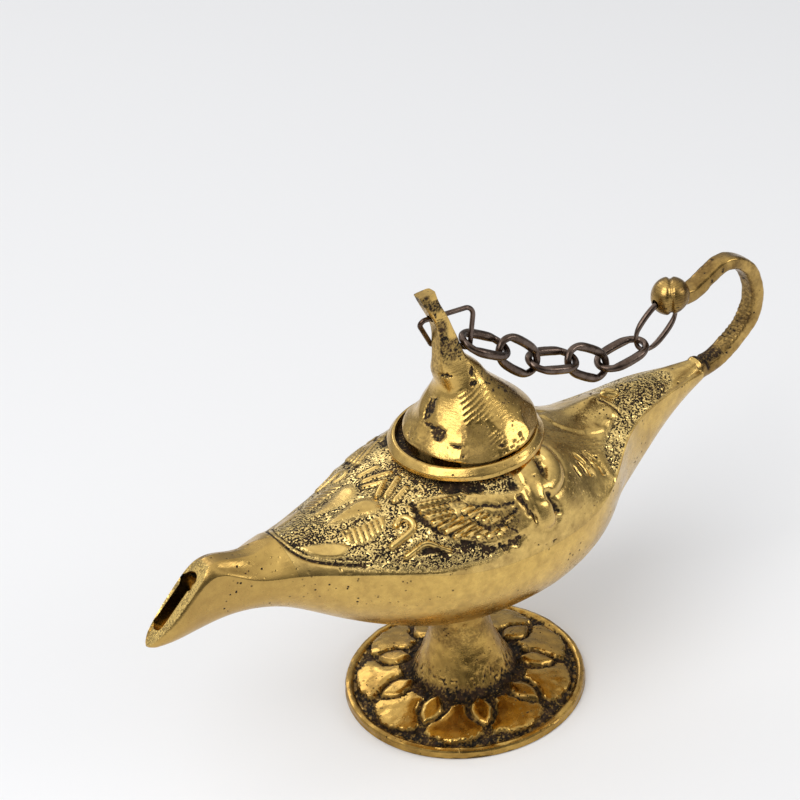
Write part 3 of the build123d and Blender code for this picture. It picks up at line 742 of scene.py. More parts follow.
def make_bowl(material):
    """Lower hull and spout: outer surfaces, lining, seam rims and the bored keyhole."""
    spout_x = np.r_[np.linspace(-spout_reach, mouth_nose_x, 52),
                    np.linspace(mouth_nose_x, deck_front_x, 50)[1:]]
    x = np.r_[spout_x, np.linspace(deck_front_x, tail_reach, 190)[1:]]
    front = len(spout_x) - 1
    angle = np.linspace(0, np.pi, 129)[None]
    lower = draw_in(keel_curve(x, angle, 0))
    upper, on_mouth, flank = spout_skin(spout_x)
    round_tip(spout_x, upper, lower[:len(spout_x)])
    lower, pits = cast_hull(lower, x, angle)
    shell = Shell()
    skin = shell.surface(lower, pits)
    mouth_dark = 0.55 * on_mouth * fade(0.35, 0.75, grain(upper, 0.9, 24))
    crown = shell.surface(upper, mouth_dark, flank, on_mouth)
    kept = np.flatnonzero((x >= cavity_front_x) & (x <= cavity_tail_x))
    # Lining and spout roof are painted black: painted shade inside the bowl and the spout's channel.
    lining = shell.surface(draw_in(keel_curve(x[kept], np.linspace(0, np.pi, 33)[None], body_wall)), 1.0)
    roof, _ = spout_top(x[kept[kept <= front]], body_wall, 8, 16)
    roof = shell.surface(draw_in(roof), 1.0)
    shell.faces.append(grid_between(lining[0], roof[0]))
    shell.faces.append(bridge_faces(crown[front], roof[-1]))
    close_bowl(shell, skin, lining, front, kept[-1])
    mesh = carve(shell.mesh("bowl"), keyhole_mesh())
    return place_piece("bowl_and_spout", mesh, "lamp", ["lower_bowl"], material)


def grid_between(first, second):
    """Quads between two runs of point numbers of one length."""
    pair = np.stack([first, second])
    return pair.ravel()[grid_faces(2, len(first))]


def keyhole_mesh():
    """Prism of the keyhole's outline, square to the mouth: a bulb's arc and a round-ended slot."""
    slope = np.radians(mouth_slope)
    down = np.array([-np.cos(slope), 0, -np.sin(slope)])
    normal = np.array([-np.sin(slope), 0, np.cos(slope)])
    half = keyhole_slot_width / 2
    meet = np.arcsin(half / keyhole_bulb_radius)
    bulb = np.linspace(meet, 2 * np.pi - meet, 40)
    end = np.linspace(-np.pi / 2, np.pi / 2, 20)
    along = np.r_[keyhole_bulb_inset + keyhole_bulb_radius * np.cos(bulb),
                  keyhole_bulb_inset + keyhole_slot_length + half * np.cos(end)]
    across = np.r_[keyhole_bulb_radius * np.sin(bulb), half * np.sin(end)]
    wobble = 0.14 * np.sin(along * 1.5 + 1.3 * np.sign(across)) + 0.07 * np.sin(along * 4.1 + across)
    across = across * (1 + wobble) + 0.3 * np.sin(along * 0.8 - 3.2)
    nose = np.array([mouth_nose_x, 0, mouth_nose_z])
    outline = nose + along[:, None] * down + across[:, None] * np.array([0, 1, 0])
    centre = outline.mean(0)
    rows = [centre + (outline - centre) * scale + normal * depth for scale, depth in (
        (0, -keyhole_depth), (1, -keyhole_depth), (1, -0.9), (1, -0.3),
        (1, keyhole_overrun), (0, keyhole_overrun))]
    shell = Shell()
    # Its faces are painted black, and the keyhole's walls keep that: painted shade inside the hole.
    shell.surface(np.stack(rows), 1.0, wrap=True)
    return shell.mesh("keyhole")


def revolve(profile, centre_x, columns):
    """Grid of a profile of radius and height pairs, turned about an upright axis."""
    profile = np.asarray(profile, float)
    angle = np.linspace(0, 2 * np.pi, columns, endpoint=False)
    x = centre_x + profile[:, :1] * np.cos(angle)
    y = profile[:, :1] * np.sin(angle)
    z = np.broadcast_to(profile[:, 1:], x.shape)
    return np.stack([x, y, z], -1)


def dense_profile(corners, step):
    """Profile with points added along each straight run."""
    corners = np.asarray(corners, float)
    rows = []
    for start, end in zip(corners[:-1], corners[1:]):
        count = max(int(np.ceil(np.linalg.norm(end - start) / step)), 1)
        rows.append(start + (end - start) * np.linspace(0, 1, count, endpoint=False)[:, None])
    rows.append(corners[-1:])
    return np.vstack(rows)


def make_collar(material):
    """Turned ring with a rounded rim, a ledge for the lid and a neck, a little battered on its outside."""
    top = collar_bottom_z + collar_height
    ledge = collar_bottom_z + collar_ledge_thickness
    neck = collar_bottom_z - collar_neck_depth
    corners = [
        (collar_neck_radius, collar_bottom_z), (collar_outer_radius - 0.05, collar_bottom_z),
        (collar_outer_radius, collar_bottom_z + 0.05), (collar_outer_radius - 0.02, collar_bottom_z + 0.8),
        (collar_outer_radius - 0.12, collar_bottom_z + 0.95), (collar_inner_radius + 0.62, top - 0.06),
        (collar_inner_radius + 0.5, top), (collar_inner_radius + 0.12, top),
        (collar_inner_radius, top - 0.25), (collar_inner_radius, ledge + 0.1),
        (collar_inner_radius - 0.1, ledge),
        (collar_hole_radius + 0.1, ledge), (collar_hole_radius, ledge - 0.1), (collar_hole_radius, neck + 0.1),
        (collar_hole_radius + 0.1, neck), (collar_neck_radius - 0.1, neck), (collar_neck_radius, neck + 0.1),
        (collar_neck_radius, collar_bottom_z),
    ]
    points = revolve(dense_profile(corners, 0.35), collar_x, 288)
    radius = np.hypot(points[..., 0] - collar_x, points[..., 1])
    outside = fade(collar_inner_radius + 0.7, collar_outer_radius, radius)
    dent = grain(points, 3.4, 31) * 0.1 + grain(points, 1.1, 32) * 0.03
    radial = points - np.array([collar_x, 0, 0])
    radial[..., 2] = 0
    radial /= np.linalg.norm(radial, axis=-1, keepdims=True)
    points = points - radial * (outside * (0.1 + dent))[..., None]
    dark = outside * fade(0.6, 0.9, grain(points, 0.8, 33)) * 0.5
    # The inner wall below its top edge is painted black: painted shade in the gap round the lid.
    dark = np.maximum(dark, 1.0 * (radius < collar_inner_radius + 0.05)
                      * fade(top - 0.2, top - 0.6, points[..., 2]))
    shell = Shell()
    shell.surface(points, dark, 1.0, wrap=True)
    return place_piece("collar_rim", shell.mesh("collar"), "lamp", ["collar_ring"], material)


# One row for each level of the lid and its horn: height, left, right, near and far reach, and squareness
lid_levels = np.array([
    (54.30, -6.50, 16.70, -12.25, 11.50, 2.00),
    (55.50, -6.60, 16.90, -12.35, 11.60, 2.00),
    (56.10, -6.70, 17.15, -12.75, 11.70, 2.00),
    (57.60, -6.34, 17.50, -12.65, 11.60, 2.00),
    (59.00, -4.90, 16.83, -11.60, 10.00, 2.00),
    (61.50, -3.24, 14.36, -9.30, 8.30, 2.00),
    (64.00, -1.60, 11.80, -6.95, 6.50, 2.05),
    (66.50, -0.40, 9.40, -4.70, 4.90, 2.20),
    (69.00, -0.80, 7.70, -3.50, 3.80, 2.60),
    (71.50, -0.80, 5.30, -2.65, 2.20, 3.20),
    (75.00, -0.40, 3.90, -2.00, 1.75, 4.50),
    (78.00, -0.30, 2.90, -1.65, 1.65, 5.00),
    (81.00, -1.20, 1.80, -1.55, 1.55, 5.00),
    (83.50, -2.40, 0.70, -1.40, 1.40, 5.00),
    (86.00, -3.50, 0.05, -1.20, 1.20, 5.00),
])
# Filed flats: direction round and above the horizon in degrees, depth of the cut, and the height it is cut at
lid_flats = [(-116, 34, 0.55, 61.5), (-153, 37, 0.35, 61.5), (-82, 33, 0.35, 61.0), (-48, 35, 0.40, 61.5),
             (165, 37, 0.40, 61.5), (100, 35, 0.40, 61.0), (40, 35, 0.40, 61.5)]
# Black hollows of the lid: direction round in degrees, height, half width and half height
lid_hollows = [(174, 62.6, 1.7, 2.3), (-158, 59.6, 1.6, 1.1), (-172, 60.4, 2.6, 0.5), (-136, 58.6, 1.9, 0.35),
               (-96, 57.9, 0.9, 0.5), (-160, 69.6, 1.3, 0.8), (-98, 68.9, 0.8, 1.0), (-104, 67.2, 1.0, 0.5)]
# Patches of file marks: middle direction, middle height, half width, half height and pitch
file_patches = [(-109, 64.2, 2.7, 2.5, 0.78), (-96, 59.2, 1.7, 1.1, 0.6)]


def level_ring(levels, angle):
    """Superellipse of each level, with its own reach to the left, right, near and far."""
    z, left, right, near, far, square = levels.T[..., None]
    power = 2 / square
    cosine = np.cos(angle)[None]
    sine = np.sin(angle)[None]
    middle_x = (left + right) / 2
    x = middle_x + (right - left) / 2 * np.sign(cosine) * np.abs(cosine) ** power
    reach = np.where(sine < 0, -near, far)
    y = reach * np.sign(sine) * np.abs(sine) ** power
    return np.stack([x, y, np.broadcast_to(z, x.shape)], -1)


def file_flat(points, turn, rise, depth, height):
    """Presses points beyond a plane onto it. The plane is sunk by the depth under the surface at a height."""
    turn, rise = np.radians(turn), np.radians(rise)
    normal = np.array([np.cos(turn) * np.cos(rise), np.sin(turn) * np.cos(rise), np.sin(rise)])
    beyond = points @ normal
    band = np.abs(points[..., 2] - height) < 2.5
    limit = beyond[band].max() - depth
    over = np.maximum(beyond - limit, 0)
    return points - over[..., None] * normal, over


def lid_under(columns):
    """Round hollow, spigot and rim under the dome, turned about the lid's axis."""
    crown_z = lid_base_z + lid_hollow_straight
    quarter = np.linspace(0, np.pi / 2, 10)
    crown = np.stack([lid_hollow_radius * np.sin(quarter), crown_z + lid_hollow_crown * np.cos(quarter)], -1)
    bottom = lid_base_z - spigot_depth
    corners = [(lid_hollow_radius, crown_z), (lid_hollow_radius, bottom + 0.15),
               (lid_hollow_radius + 0.15, bottom),
               (spigot_radius - 0.2, bottom), (spigot_radius, bottom + 0.2), (spigot_radius, lid_base_z - 0.1),
               (spigot_radius + 0.1, lid_base_z), (lid_rim_radius - 0.25, lid_base_z),
               (lid_rim_radius, lid_base_z + 0.205)]
    return revolve(np.vstack([crown[:-1], dense_profile(corners, 1.0)]), lid_x, columns)


def lid_skin(angle):
    """Dome and horn: a superellipse at each level, pressed onto the filed flats. Also the flats' depth."""
    z = np.r_[np.linspace(lid_rim_z, horn_start_z, 80)[1:], np.linspace(horn_start_z, horn_top_z, 90)[1:]]
    top = level_ring(np.c_[z, spline(lid_levels[:, 0], lid_levels[:, 1:], z)], angle)
    filed = top.copy()
    depths = np.zeros(top.shape[:-1])
    for turn, rise, depth, height in lid_flats:
        filed, over = file_flat(filed, turn, rise, depth, height)
        depths = np.maximum(depths, over)
    top = top + (filed - top) * fade(67.5, 62.5, top[..., 2])[..., None]
    front = np.exp(-((np.degrees(angle) - 232) / 24) ** 2) * fade(58.6, 56.8, top[..., 2])
    top[..., :2] += 0.4 * front[..., None] * np.stack([np.cos(angle), np.sin(angle)], -1)
    return top, depths


def lid_hollow_marks(top, turn, radius, ragged):
    """Ragged black hollows of the dome and pits round its rim, from 0 to 1."""
    pits = np.zeros(radius.shape)
    for middle, height, wide, high in lid_hollows:
        beside = np.radians((turn - middle + 180) % 360 - 180) * radius
        room = 1 - np.hypot(beside / wide, (top[..., 2] - height) / high) + 0.75 * ragged
        pits = np.maximum(pits, fade(0.12, 0.4, room))
    rim_pits = fade(60.0, 57.5, top[..., 2]) * fade(0.45, 0.75, grain(top, 0.55, 46))
    return np.maximum(pits, rim_pits * fade(0.0, 0.5, grain(top, 3.0, 47)))


def lid_file_marks(top, turn, radius):
    """Slanted file strokes in their patches, from -1 to 1."""
    marks = np.zeros(radius.shape)
    for middle, height, wide, high, pitch in file_patches:
        beside = np.radians((turn - middle + 180) % 360 - 180) * radius
        above = top[..., 2] - height
        room = fade(wide + 0.3, wide - 0.3, np.abs(beside)) * fade(high + 0.2, high - 0.2, np.abs(above))
        marks = marks + room * np.sin((above - 0.45 * beside + 0.04 * grain(top, 1.5, 48)) * 2 * np.pi / pitch)
    return marks


def lid_patina_and_shade(top, turn, outward, fine, ragged, marks):
    """Patina of the horn's ticks, spots and root and of the speckled slope, a darker front facet, and painted
    shade on the horn's left face and on the left facet.
    """
    z = top[..., 2]
    # Painted shade: the horn's faces turned to the left are darkened.
    left_face_shade = fade(-0.6, -0.9, outward[..., 0]) * fade(66, 69, z)
    near_horn = fade(-0.3, -0.7, outward[..., 1]) * fade(68.5, 70.5, z) * fade(84, 81.5, z)
    ticks = np.sin((z + 0.25 * top[..., 0] + 0.12 * grain(top, 1.2, 49)) * 2 * np.pi / 0.62)
    horn_ticks = near_horn * fade(-0.1, 0.35, grain(top, 1.3, 50)) * fade(0.45, 0.8, ticks)
    horn_spots = near_horn * fade(0.45, 0.6, grain(top, 0.8, 61)) * fade(79.5, 80.5, z)
    horn_root = fade(0.3, 0.62, ragged) * fade(68, 70, z) * fade(76, 72, z)
    slope = fade(-80, -66, turn) * fade(-20, -40, turn) * fade(61.5, 63.0, z) * fade(71, 68, z)
    specks = slope * (0.36 + 0.5 * fade(0.1, 0.5, fine))
    front_facet = fade(-134, -131, turn) * fade(-97, -103, turn) * fade(62.6, 60.8, z)
    # Painted shade: the left facet is darkened to dim its reflection.
    left_facet_shade = fade(-180, -172, turn) * fade(-150, -164, turn) * fade(66, 62, z)
    horn_dull = fade(69, 74, z) * fade(-0.2, 0.4, grain(top, 2.2, 54))
    return np.maximum.reduce([0.45 * left_face_shade, 0.6 * fade(-0.3, -0.8, marks), 0.8 * horn_ticks,
                              0.9 * horn_spots, 0.75 * horn_root,
                              specks, 0.46 * front_facet, 0.4 * left_facet_shade, 0.75 * horn_dull])


def make_lid(material):
    """Hollow, spigot, dome and horn as one run of rings, with filed flats, file marks and the horn's hole."""
    columns = 224
    angle = np.linspace(0, 2 * np.pi, columns, endpoint=False)
    under = lid_under(columns)
    top, depths = lid_skin(angle)
    from_axis = top[..., :2] - np.array([lid_x, 0])
    outward = normals(top, wrap=True)
    outward *= np.sign((outward[..., :2] * from_axis).sum())
    turn = np.degrees(np.arctan2(from_axis[..., 1], from_axis[..., 0]))
    radius = np.hypot(from_axis[..., 0], from_axis[..., 1])
    fine = grain(top, 0.5, 41)
    ragged = 0.55 * fine + 0.45 * grain(top, 1.0, 45)
    pits = lid_hollow_marks(top, turn, radius, ragged)
    marks = lid_file_marks(top, turn, radius)
    wave = grain(top, 4.0, 42) * 0.06 + grain(top, 1.6, 43) * 0.015
    calm = fade(lid_rim_z, 56, top[..., 2]) * fade(84, 80, top[..., 2])
    top = top + outward * (0.1 * marks + wave * calm - 0.28 * pits - 0.04)[..., None]
    top[..., 2] = np.minimum(top[..., 2], horn_top_z - 0.01)
    dark = np.maximum(pits, lid_patina_and_shade(top, turn, outward, fine, ragged, marks))
    last = top[-1].mean(0)
    cap = last + (top[-1] - last) * np.array([0.5, 0.0])[:, None, None]
    # The hollow, spigot and rim under the dome are painted half dark: painted shade under the lid.
    all_dark = np.concatenate([np.full(under.shape[:-1], 0.5), dark, np.zeros(cap.shape[:-1])])
    polish = np.concatenate([np.zeros(under.shape[:-1]), fade(0.05, 0.2, depths), np.ones(cap.shape[:-1])])
    shell = Shell()
    shell.surface(np.concatenate([under, top, cap]), all_dark, polish, wrap=True)
    top_corner = ring_place(0.660, 0.0, -0.098)
    mesh = carve(shell.mesh("lid"), pin_mesh(horn_hole, top_corner - horn_hole, horn_hole_radius, 4.0))
    return place_piece("lid_and_horn", mesh, "lid", ["lid"], material)


def pin_mesh(middle, heading, radius, half_length):
    """Round pin along a heading, used to bore the horn."""
    heading = heading / np.linalg.norm(heading)
    side = np.cross(heading, np.array([0, 1, 0]))
    side /= np.linalg.norm(side)
    other = np.cross(heading, side)
    angle = np.linspace(0, 2 * np.pi, 40, endpoint=False)
    ring = radius * (np.cos(angle)[:, None] * side + np.sin(angle)[:, None] * other)
    rows = [middle + ring * scale + heading * place
            for scale, place in ((0, -half_length), (1, -half_length), (1, half_length), (0, half_length))]
    shell = Shell()
    # Its faces are painted black, and the horn's hole keeps that: painted shade inside the hole.
    shell.surface(np.stack(rows), 1.0, wrap=True)
    return shell.mesh("pin")


def ring_place(along, back, up):
    """Place on the lid ring's line, from the horn's hole: along its span, back behind the horn and up."""
    return horn_hole + np.array([along * lid_ring_span, back * lid_ring_behind, up * lid_ring_drop])


# Foot profile from the rim's outer edge to the neck's top: radius and height
foot_profile = [(22.75, 0.0), (23.0, 0.25), (23.0, 1.35), (22.7, 1.8), (22.1, 1.95), (21.5, 1.75), (21.2, 1.6),
                (20.0, 2.15), (17.0, 2.75), (14.0, 3.35), (11.6, 3.9), (10.5, 4.2), (9.3, 5.5), (7.5, 9.1),
                (6.0, 13.1), (5.4, 17.1), (5.45, 19.3), (5.6, 20.25)]
foot_inside = [(4.0, 20.3), (2.15, 20.25), (2.15, 8.0), (6.0, 8.0), (10.5, 2.9), (21.4, 0.7), (21.4, 0.0),
               (22.75, 0.0)]


def foot_relief(points):
    """Room inside the big petals and the small pointed ones between them, positive inside each."""
    radius = np.hypot(points[..., 0], points[..., 1])
    turn = np.degrees(np.arctan2(points[..., 1], points[..., 0]))
    pitch = 360 / petal_count
    from_petal = (turn - petal_turn + pitch / 2) % pitch - pitch / 2
    from_gap = (turn - petal_turn) % pitch - pitch / 2
    wobble = 0.28 * grain(points, 1.3, 51) + 0.2 * grain(points, 0.6, 59)
    half_turn = 12.0 + 5.5 * np.clip((radius - 12.5) / 4.5, 0, 1)
    side_room = np.radians(half_turn - np.abs(from_petal)) * radius
    sideways = np.radians(from_petal) * radius
    end_room = 20.7 - radius - 0.045 * sideways ** 2
    big = np.minimum(np.minimum(side_room, end_room), radius - 12.0)
    small_side = np.radians(from_gap) * radius
    reach = (radius - 13.9) / 3.4
    small = 2.1 * (1 - np.clip(reach, -1, 1) ** 2) - np.abs(small_side)
    small = np.where(np.abs(reach) < 1, small, -1.0)
    notch = 3.0 * (1 - np.clip((radius - 13.6) / 4.8, -1, 1) ** 2) - np.abs(small_side)
    big = np.minimum(big, -notch)
    return radius, from_petal, big + wobble, small + 0.7 * wobble


def foot_skin(columns):
    """Turned profile with the petals raised on it, its patina, and the mark of the big petals."""
    outer = dense_profile(foot_profile, 0.36)
    neck_start = np.flatnonzero(outer[:, 1] > 4.3)[0]
    neck = curve_through(np.array(foot_profile[11:]), 46)
    points = revolve(np.vstack([outer[:neck_start - 1], neck]), 0.0, columns)
    radius, from_petal, big, small = foot_relief(points)
    dish = fade(21.3, 20.9, radius) * fade(9.9, 10.6, radius)
    on_big = fade(-0.1, 0.3, big)
    on_small = fade(-0.1, 0.3, small)
    tilt = 0.14 * np.clip(from_petal / 17.5, -1, 1) * np.cos(np.radians(points[..., 0] * 37))
    big_lift = on_big * (0.42 + 0.12 * fade(0.2, 2.0, big) + tilt)
    small_lift = on_small * (0.34 + 0.3 * fade(0.1, 1.1, small))
    crackle = grain(points, 0.6, 52)
    ground = dish * (1 - np.maximum(on_big, on_small))
    rim_groove = np.exp(-((radius - 21.2) / 0.4) ** 2)
    neck_pits = (fade(10.6, 9.6, radius) * fade(0.2, 0.55, grain(points, 0.6, 53))
                 * fade(11.0, 5.0, points[..., 2]))
    neck_groove = np.exp(-((radius - 10.1 - 0.3 * crackle) / 0.85) ** 2)
    height = dish * np.maximum(big_lift, small_lift) - ground * (0.38 + 0.2 * crackle)
    height -= 0.3 * rim_groove + 0.18 * neck_pits + 0.3 * neck_groove
    wave = grain(points, 3.5, 54) * 0.12 + grain(points, 1.2, 55) * 0.05
    body = fade(22.6, 21.9, radius) * fade(20.2, 18.5, points[..., 2])
    rim_dents = fade(21.6, 22.6, radius) * (0.12 + 0.12 * grain(points, 2.2, 56)) * (points[..., 2] > 0.3)
    outward = normals(points, wrap=True)
    outward *= np.sign(outward[len(outward) // 2, :, 2].sum())
    points = points + outward * ((height + wave * body) - rim_dents)[..., None]
    reach = np.maximum(np.hypot(points[..., 0], points[..., 1]), 1e-6)
    points[..., :2] *= np.minimum(1, (foot_radius - 0.01) / reach)[..., None]
    dark = np.clip(ground * (0.95 + 0.4 * crackle) + 0.9 * rim_groove * fade(-0.5, 0.3, crackle)
                   + neck_groove + 0.9 * neck_pits, 0, 1)
    specks = fade(0.5, 0.8, grain(points, 0.5, 57)) * fade(-0.1, 0.5, grain(points, 4.0, 58))
    worn_brown = 0.38 * fade(-0.1, 0.5, grain(points, 5.0, 60)) * fade(12.5, 10.5, radius)
    return points, np.maximum.reduce([dark, 0.8 * specks, worn_brown]), on_big * dish


def make_foot(material):
    """Turned foot: a dish with cast petals, a raised rim, a flared neck and the hollow beneath."""
    columns = 430
    points, dark, petals = foot_skin(columns)
    inside = revolve(dense_profile(foot_inside, 2.0), 0.0, columns)
    shape = inside.shape[:-1]
    shell = Shell()
    # The hollow beneath is painted dark: painted shade under the foot.
    shell.surface(np.concatenate([points, inside]), np.concatenate([dark, np.full(shape, 0.6)]),
                  np.concatenate([petals, np.zeros(shape)]), wrap=True)
    return place_piece("petal_foot", shell.mesh("foot"), "lamp", ["foot"], material)


def tube(line, radius, side, columns=24):
    """Round wire along a closed line: rings square to it, set out from a side direction."""
    along = np.roll(line, -1, 0) - np.roll(line, 1, 0)
    along /= np.linalg.norm(along, axis=1, keepdims=True)
    first = np.cross(along, side)
    first /= np.linalg.norm(first, axis=1, keepdims=True)
    second = np.cross(along, first)
    angle = np.linspace(0, 2 * np.pi, columns, endpoint=False)
    ring = np.cos(angle)[None, :, None] * first[:, None] + np.sin(angle)[None, :, None] * second[:, None]
    return line[:, None] + ring * np.reshape(radius, (-1, 1, 1))


def wire_shell(line, radius, side, seed, columns=24):
    """Closed wire with slight flats and swellings of its surface."""
    points = tube(line, radius, side, columns)
    middle = line[:, None]
    swell = 1 + 0.02 * grain(points, 1.4, seed) - 0.012
    points = middle + (points - middle) * swell[..., None]
    rust = fade(0.1, 0.8, grain(points, 1.1, seed + 1))
    shell = Shell()
    closed = np.concatenate([points, points[:1]])
    shell.surface(closed, np.concatenate([rust, rust[:1]]), wrap=True)
    return shell


def oval_line(length, width, wire, swell, count=120):
    """Long link's line and wire radius. The line is halfway between an ellipse and a round-ended slot.

    The wire swells along the sides, inwards only, so that the link keeps its width.
    """
    straight = (length - width) / 2
    turn = np.linspace(0, 2 * np.pi, count, endpoint=False)
    cosine, sine = np.cos(turn), np.sin(turn)
    reach = straight * np.tanh(4 * cosine) / np.tanh(4)
    radius = wire / 2 + swell * fade(0.75, 1.0, np.abs(sine))
    along = 0.5 * ((length - wire) / 2 * cosine) + 0.5 * (reach + (width - wire) / 2 * cosine)
    return along, (width / 2 - radius) * sine, radius


def make_link(name, body, node, first, second, twist, length, width, wire, middle, material, seed):
    """Round-ended wire link whose length lies between two pivots, twisted about it."""
    heading = (first - second) / np.linalg.norm(first - second)
    raised = np.array([-heading[2], 0, heading[0]])
    twist = np.radians(twist)
    across = np.cos(twist) * np.array([0, -1.0, 0]) + np.sin(twist) * raised
    u, v, radius = oval_line(length, width, wire, 0.15 * wire)
    line = middle + u[:, None] * heading + v[:, None] * across
    shell = wire_shell(line, radius, np.cross(heading, across), seed)
    return place_piece(name, shell.mesh(name), body, [node], material)


def make_chain(material):
    """Handle ring and the five links, from the handle's side to the lid's."""
    heading = (chain_pivots[0] - chain_pivots[1]) / np.linalg.norm(chain_pivots[0] - chain_pivots[1])
    middle = chain_pivots[0] - heading * (handle_ring_length - handle_ring_width) / 2
    make_link("steel_handle_ring", "handle_ring", "handle_ring", chain_pivots[0], chain_pivots[1],
              handle_ring_twist, handle_ring_length, handle_ring_width, handle_ring_wire, middle, material, 61)
    for index, twist in enumerate(link_twists):
        first, second = chain_pivots[index + 1], chain_pivots[index + 2]
        node = f"chain_link_{len(link_twists) - index}"
        make_link(f"steel_link_{len(link_twists) - index}", node, node, first, second, twist,
                  link_length, link_width, link_wire, (first + second) / 2, material, 63 + 2 * index)


def make_lid_ring(material):
    """Wire bent round five corners: straight runs joined by arcs that touch both of their sides."""
    slant = np.radians(lid_ring_corner_slant)
    corners = np.array([
        ring_place(-0.345, 0.0, 0.053),
        ring_place(0.660, 0.0, -0.098),
        chain_pivots[-1] + lid_ring_corner_reach * np.array([np.cos(slant), 0, np.sin(slant)]),
        ring_place(0.360, 1.0, -0.860),
        ring_place(-0.014, 1.0, -0.700),
    ])
    bends = (0.9, 1.8, 0.9, 0.9, 0.9)
    line = []
    for index, corner in enumerate(corners):
        back = corners[index - 1] - corner
        ahead = corners[(index + 1) % len(corners)] - corner
        back /= np.linalg.norm(back)
        ahead /= np.linalg.norm(ahead)
        half = np.arccos(back @ ahead) / 2
        centre = corner + (back + ahead) / np.linalg.norm(back + ahead) * bends[index] / np.sin(half)
        start = corner + back * bends[index] / np.tan(half) - centre
        end = corner + ahead * bends[index] / np.tan(half) - centre
        sweep = np.pi - 2 * half
        share = np.linspace(0, 1, 12)[:, None]
        line.append(centre + (np.sin((1 - share) * sweep) * start + np.sin(share * sweep) * end) / np.sin(sweep))
    shell = wire_shell(np.vstack(line), lid_ring_wire / 2 + 0.04, np.array([0, 1.0, 0]), 81, 20)
    return place_piece("steel_lid_ring", shell.mesh("lid_ring"), "lid_ring", ["lid_ring"],
                       material)


def strap_mesh():
    """Strap: superellipse sections along a spline, squarer past the root and seated on the tail."""
    root = np.array([tail_reach + seam_gap, 0, handle_root_z])
    places = root + np.c_[strap_shares[:, 0] * handle_reach, np.zeros(len(strap_shares)),
                          strap_shares[:, 1] * handle_rise]
    along = np.r_[0, np.cumsum(np.linalg.norm(np.diff(places, axis=0), axis=1))]
    at = np.linspace(0, along[-1], 240)
    line = spline(along, places, at)
    sizes = spline(along, strap_shares[:, 2:], at) * np.array([strap_width, strap_thickness]) / 2
    heading = np.gradient(line, axis=0)
    heading[0] = (1, 0, 0)
    heading /= np.linalg.norm(heading, axis=1, keepdims=True)
    sideways = np.array([0, 1.0, 0])
    inward = np.cross(heading, sideways)[:, None]
    columns = 72
    angle = np.linspace(0, 2 * np.pi, columns, endpoint=False)
    square = 2 / (2.3 + 1.9 * fade(0.5, 6.0, at))[:, None]
    side = np.sign(np.cos(angle)) * np.abs(np.cos(angle)) ** square
    deep = np.sign(np.sin(angle)) * np.abs(np.sin(angle)) ** square
    share = at / along[-1]
    inner_face = fade(0.45, 0.95, deep)
    hollow = 0.08 * (fade(0.04, 0.1, share) * fade(0.7, 0.5, share))[:, None] * inner_face
    cords = np.sin(at * 2 * np.pi / 1.05)[:, None] * (
        fade(0.16, 0.2, share) * fade(0.42, 0.34, share))[:, None]
    root_groove = np.exp(-((at - 1.5) / 0.6) ** 2)[:, None] * fade(-0.2, 0.5, deep)
    tail_top = crest_curve(np.array([tail_reach]), np.zeros((1, 1)), 0)[0, 0, 2]
    step_up = tail_top - handle_root_z - 0.98 * sizes[0, 1]
    thickness = sizes[:, 1:] * deep * (0.98 + 0.1 * inner_face)
    thickness = thickness + step_up * fade(6.0, 0.0, at)[:, None] * fade(0.0, 0.8, deep)
    centre = line[:, None]
    points = (centre + (sizes[:, :1] * side * 0.98)[..., None] * sideways
              + (thickness - hollow + 0.1 * cords * inner_face - 0.5 * root_groove)[..., None] * inward)
    bumps = 0.06 * grain(points, 1.8, 91) + 0.03 * grain(points, 0.8, 92)
    points = centre + (points - centre) * (1 - 0.03 + 0.7 * bumps)[..., None]
    specks = fade(0.45, 0.8, grain(points, 0.6, 93)) * fade(-0.2, 0.5, grain(points, 3.0, 94))
    # Painted shade on the strap's inner face, deepest near the root.
    shaded = (np.maximum(0.85 * fade(0.2, 0.1, share), 0.5) * fade(0.75, 0.55, share))[:, None] * inner_face
    between_cords = inner_face * fade(-0.3, -0.8, cords) * fade(-0.35, 0.3, grain(points, 1.3, 97))
    dark = np.maximum.reduce([specks, shaded, root_groove, between_cords])
    ends = np.broadcast_to(centre[[0, -1]], (2, columns, 3))
    shell = Shell()
    shell.surface(np.concatenate([ends[:1], points, ends[1:]]),
                  np.concatenate([dark[:1], dark, dark[-1:]]), wrap=True)
    return shell.mesh("strap")


def make_handle(material):
    """Strap fused to its two-lobed knob, with the handle ring's channel bored through."""
    mesh = carve(carve(strap_mesh(), knob_mesh(), "UNION"), tunnel_mesh())
    return place_piece("handle_loop", mesh, "lamp", ["handle"], material)


def knob_mesh():
    """Two lobes with a groove between them: a sphere whose radius dips on a slanted great circle."""
    turn = np.linspace(0, 2 * np.pi, 96, endpoint=False)[None]
    rise = np.linspace(-np.pi / 2, np.pi / 2, 64)[:, None]
    outward = np.stack([np.cos(rise) * np.cos(turn), np.cos(rise) * np.sin(turn),
                        np.broadcast_to(np.sin(rise), (64, 96))], -1)
    axle = np.array([0.80, -0.58, 0.0])
    axle /= np.linalg.norm(axle)
    over = outward @ axle
    crease = np.exp(-((over - 0.05) / 0.13) ** 2)
    uneven = np.sin(outward[..., 0] * 2.1 + 0.4) * np.sin(outward[..., 2] * 2.6 + 0.9)
    reach = knob_radius + 0.2 - 0.45 * crease + 0.12 * uneven
    middle = knob_centre + np.array([0.0, 0.0, knob_rise])
    points = middle + outward * reach[..., None] * np.array([1.04, 0.97, 1.0])
    specks = fade(0.1, 0.6, grain(points, 0.6, 96))
    dark = np.maximum(0.9 * fade(0.25, 0.8, crease), specks * fade(0.35, -0.35, outward[..., 2]))
    shell = Shell()
    shell.surface(points, dark, wrap=True)
    return shell.mesh("knob")


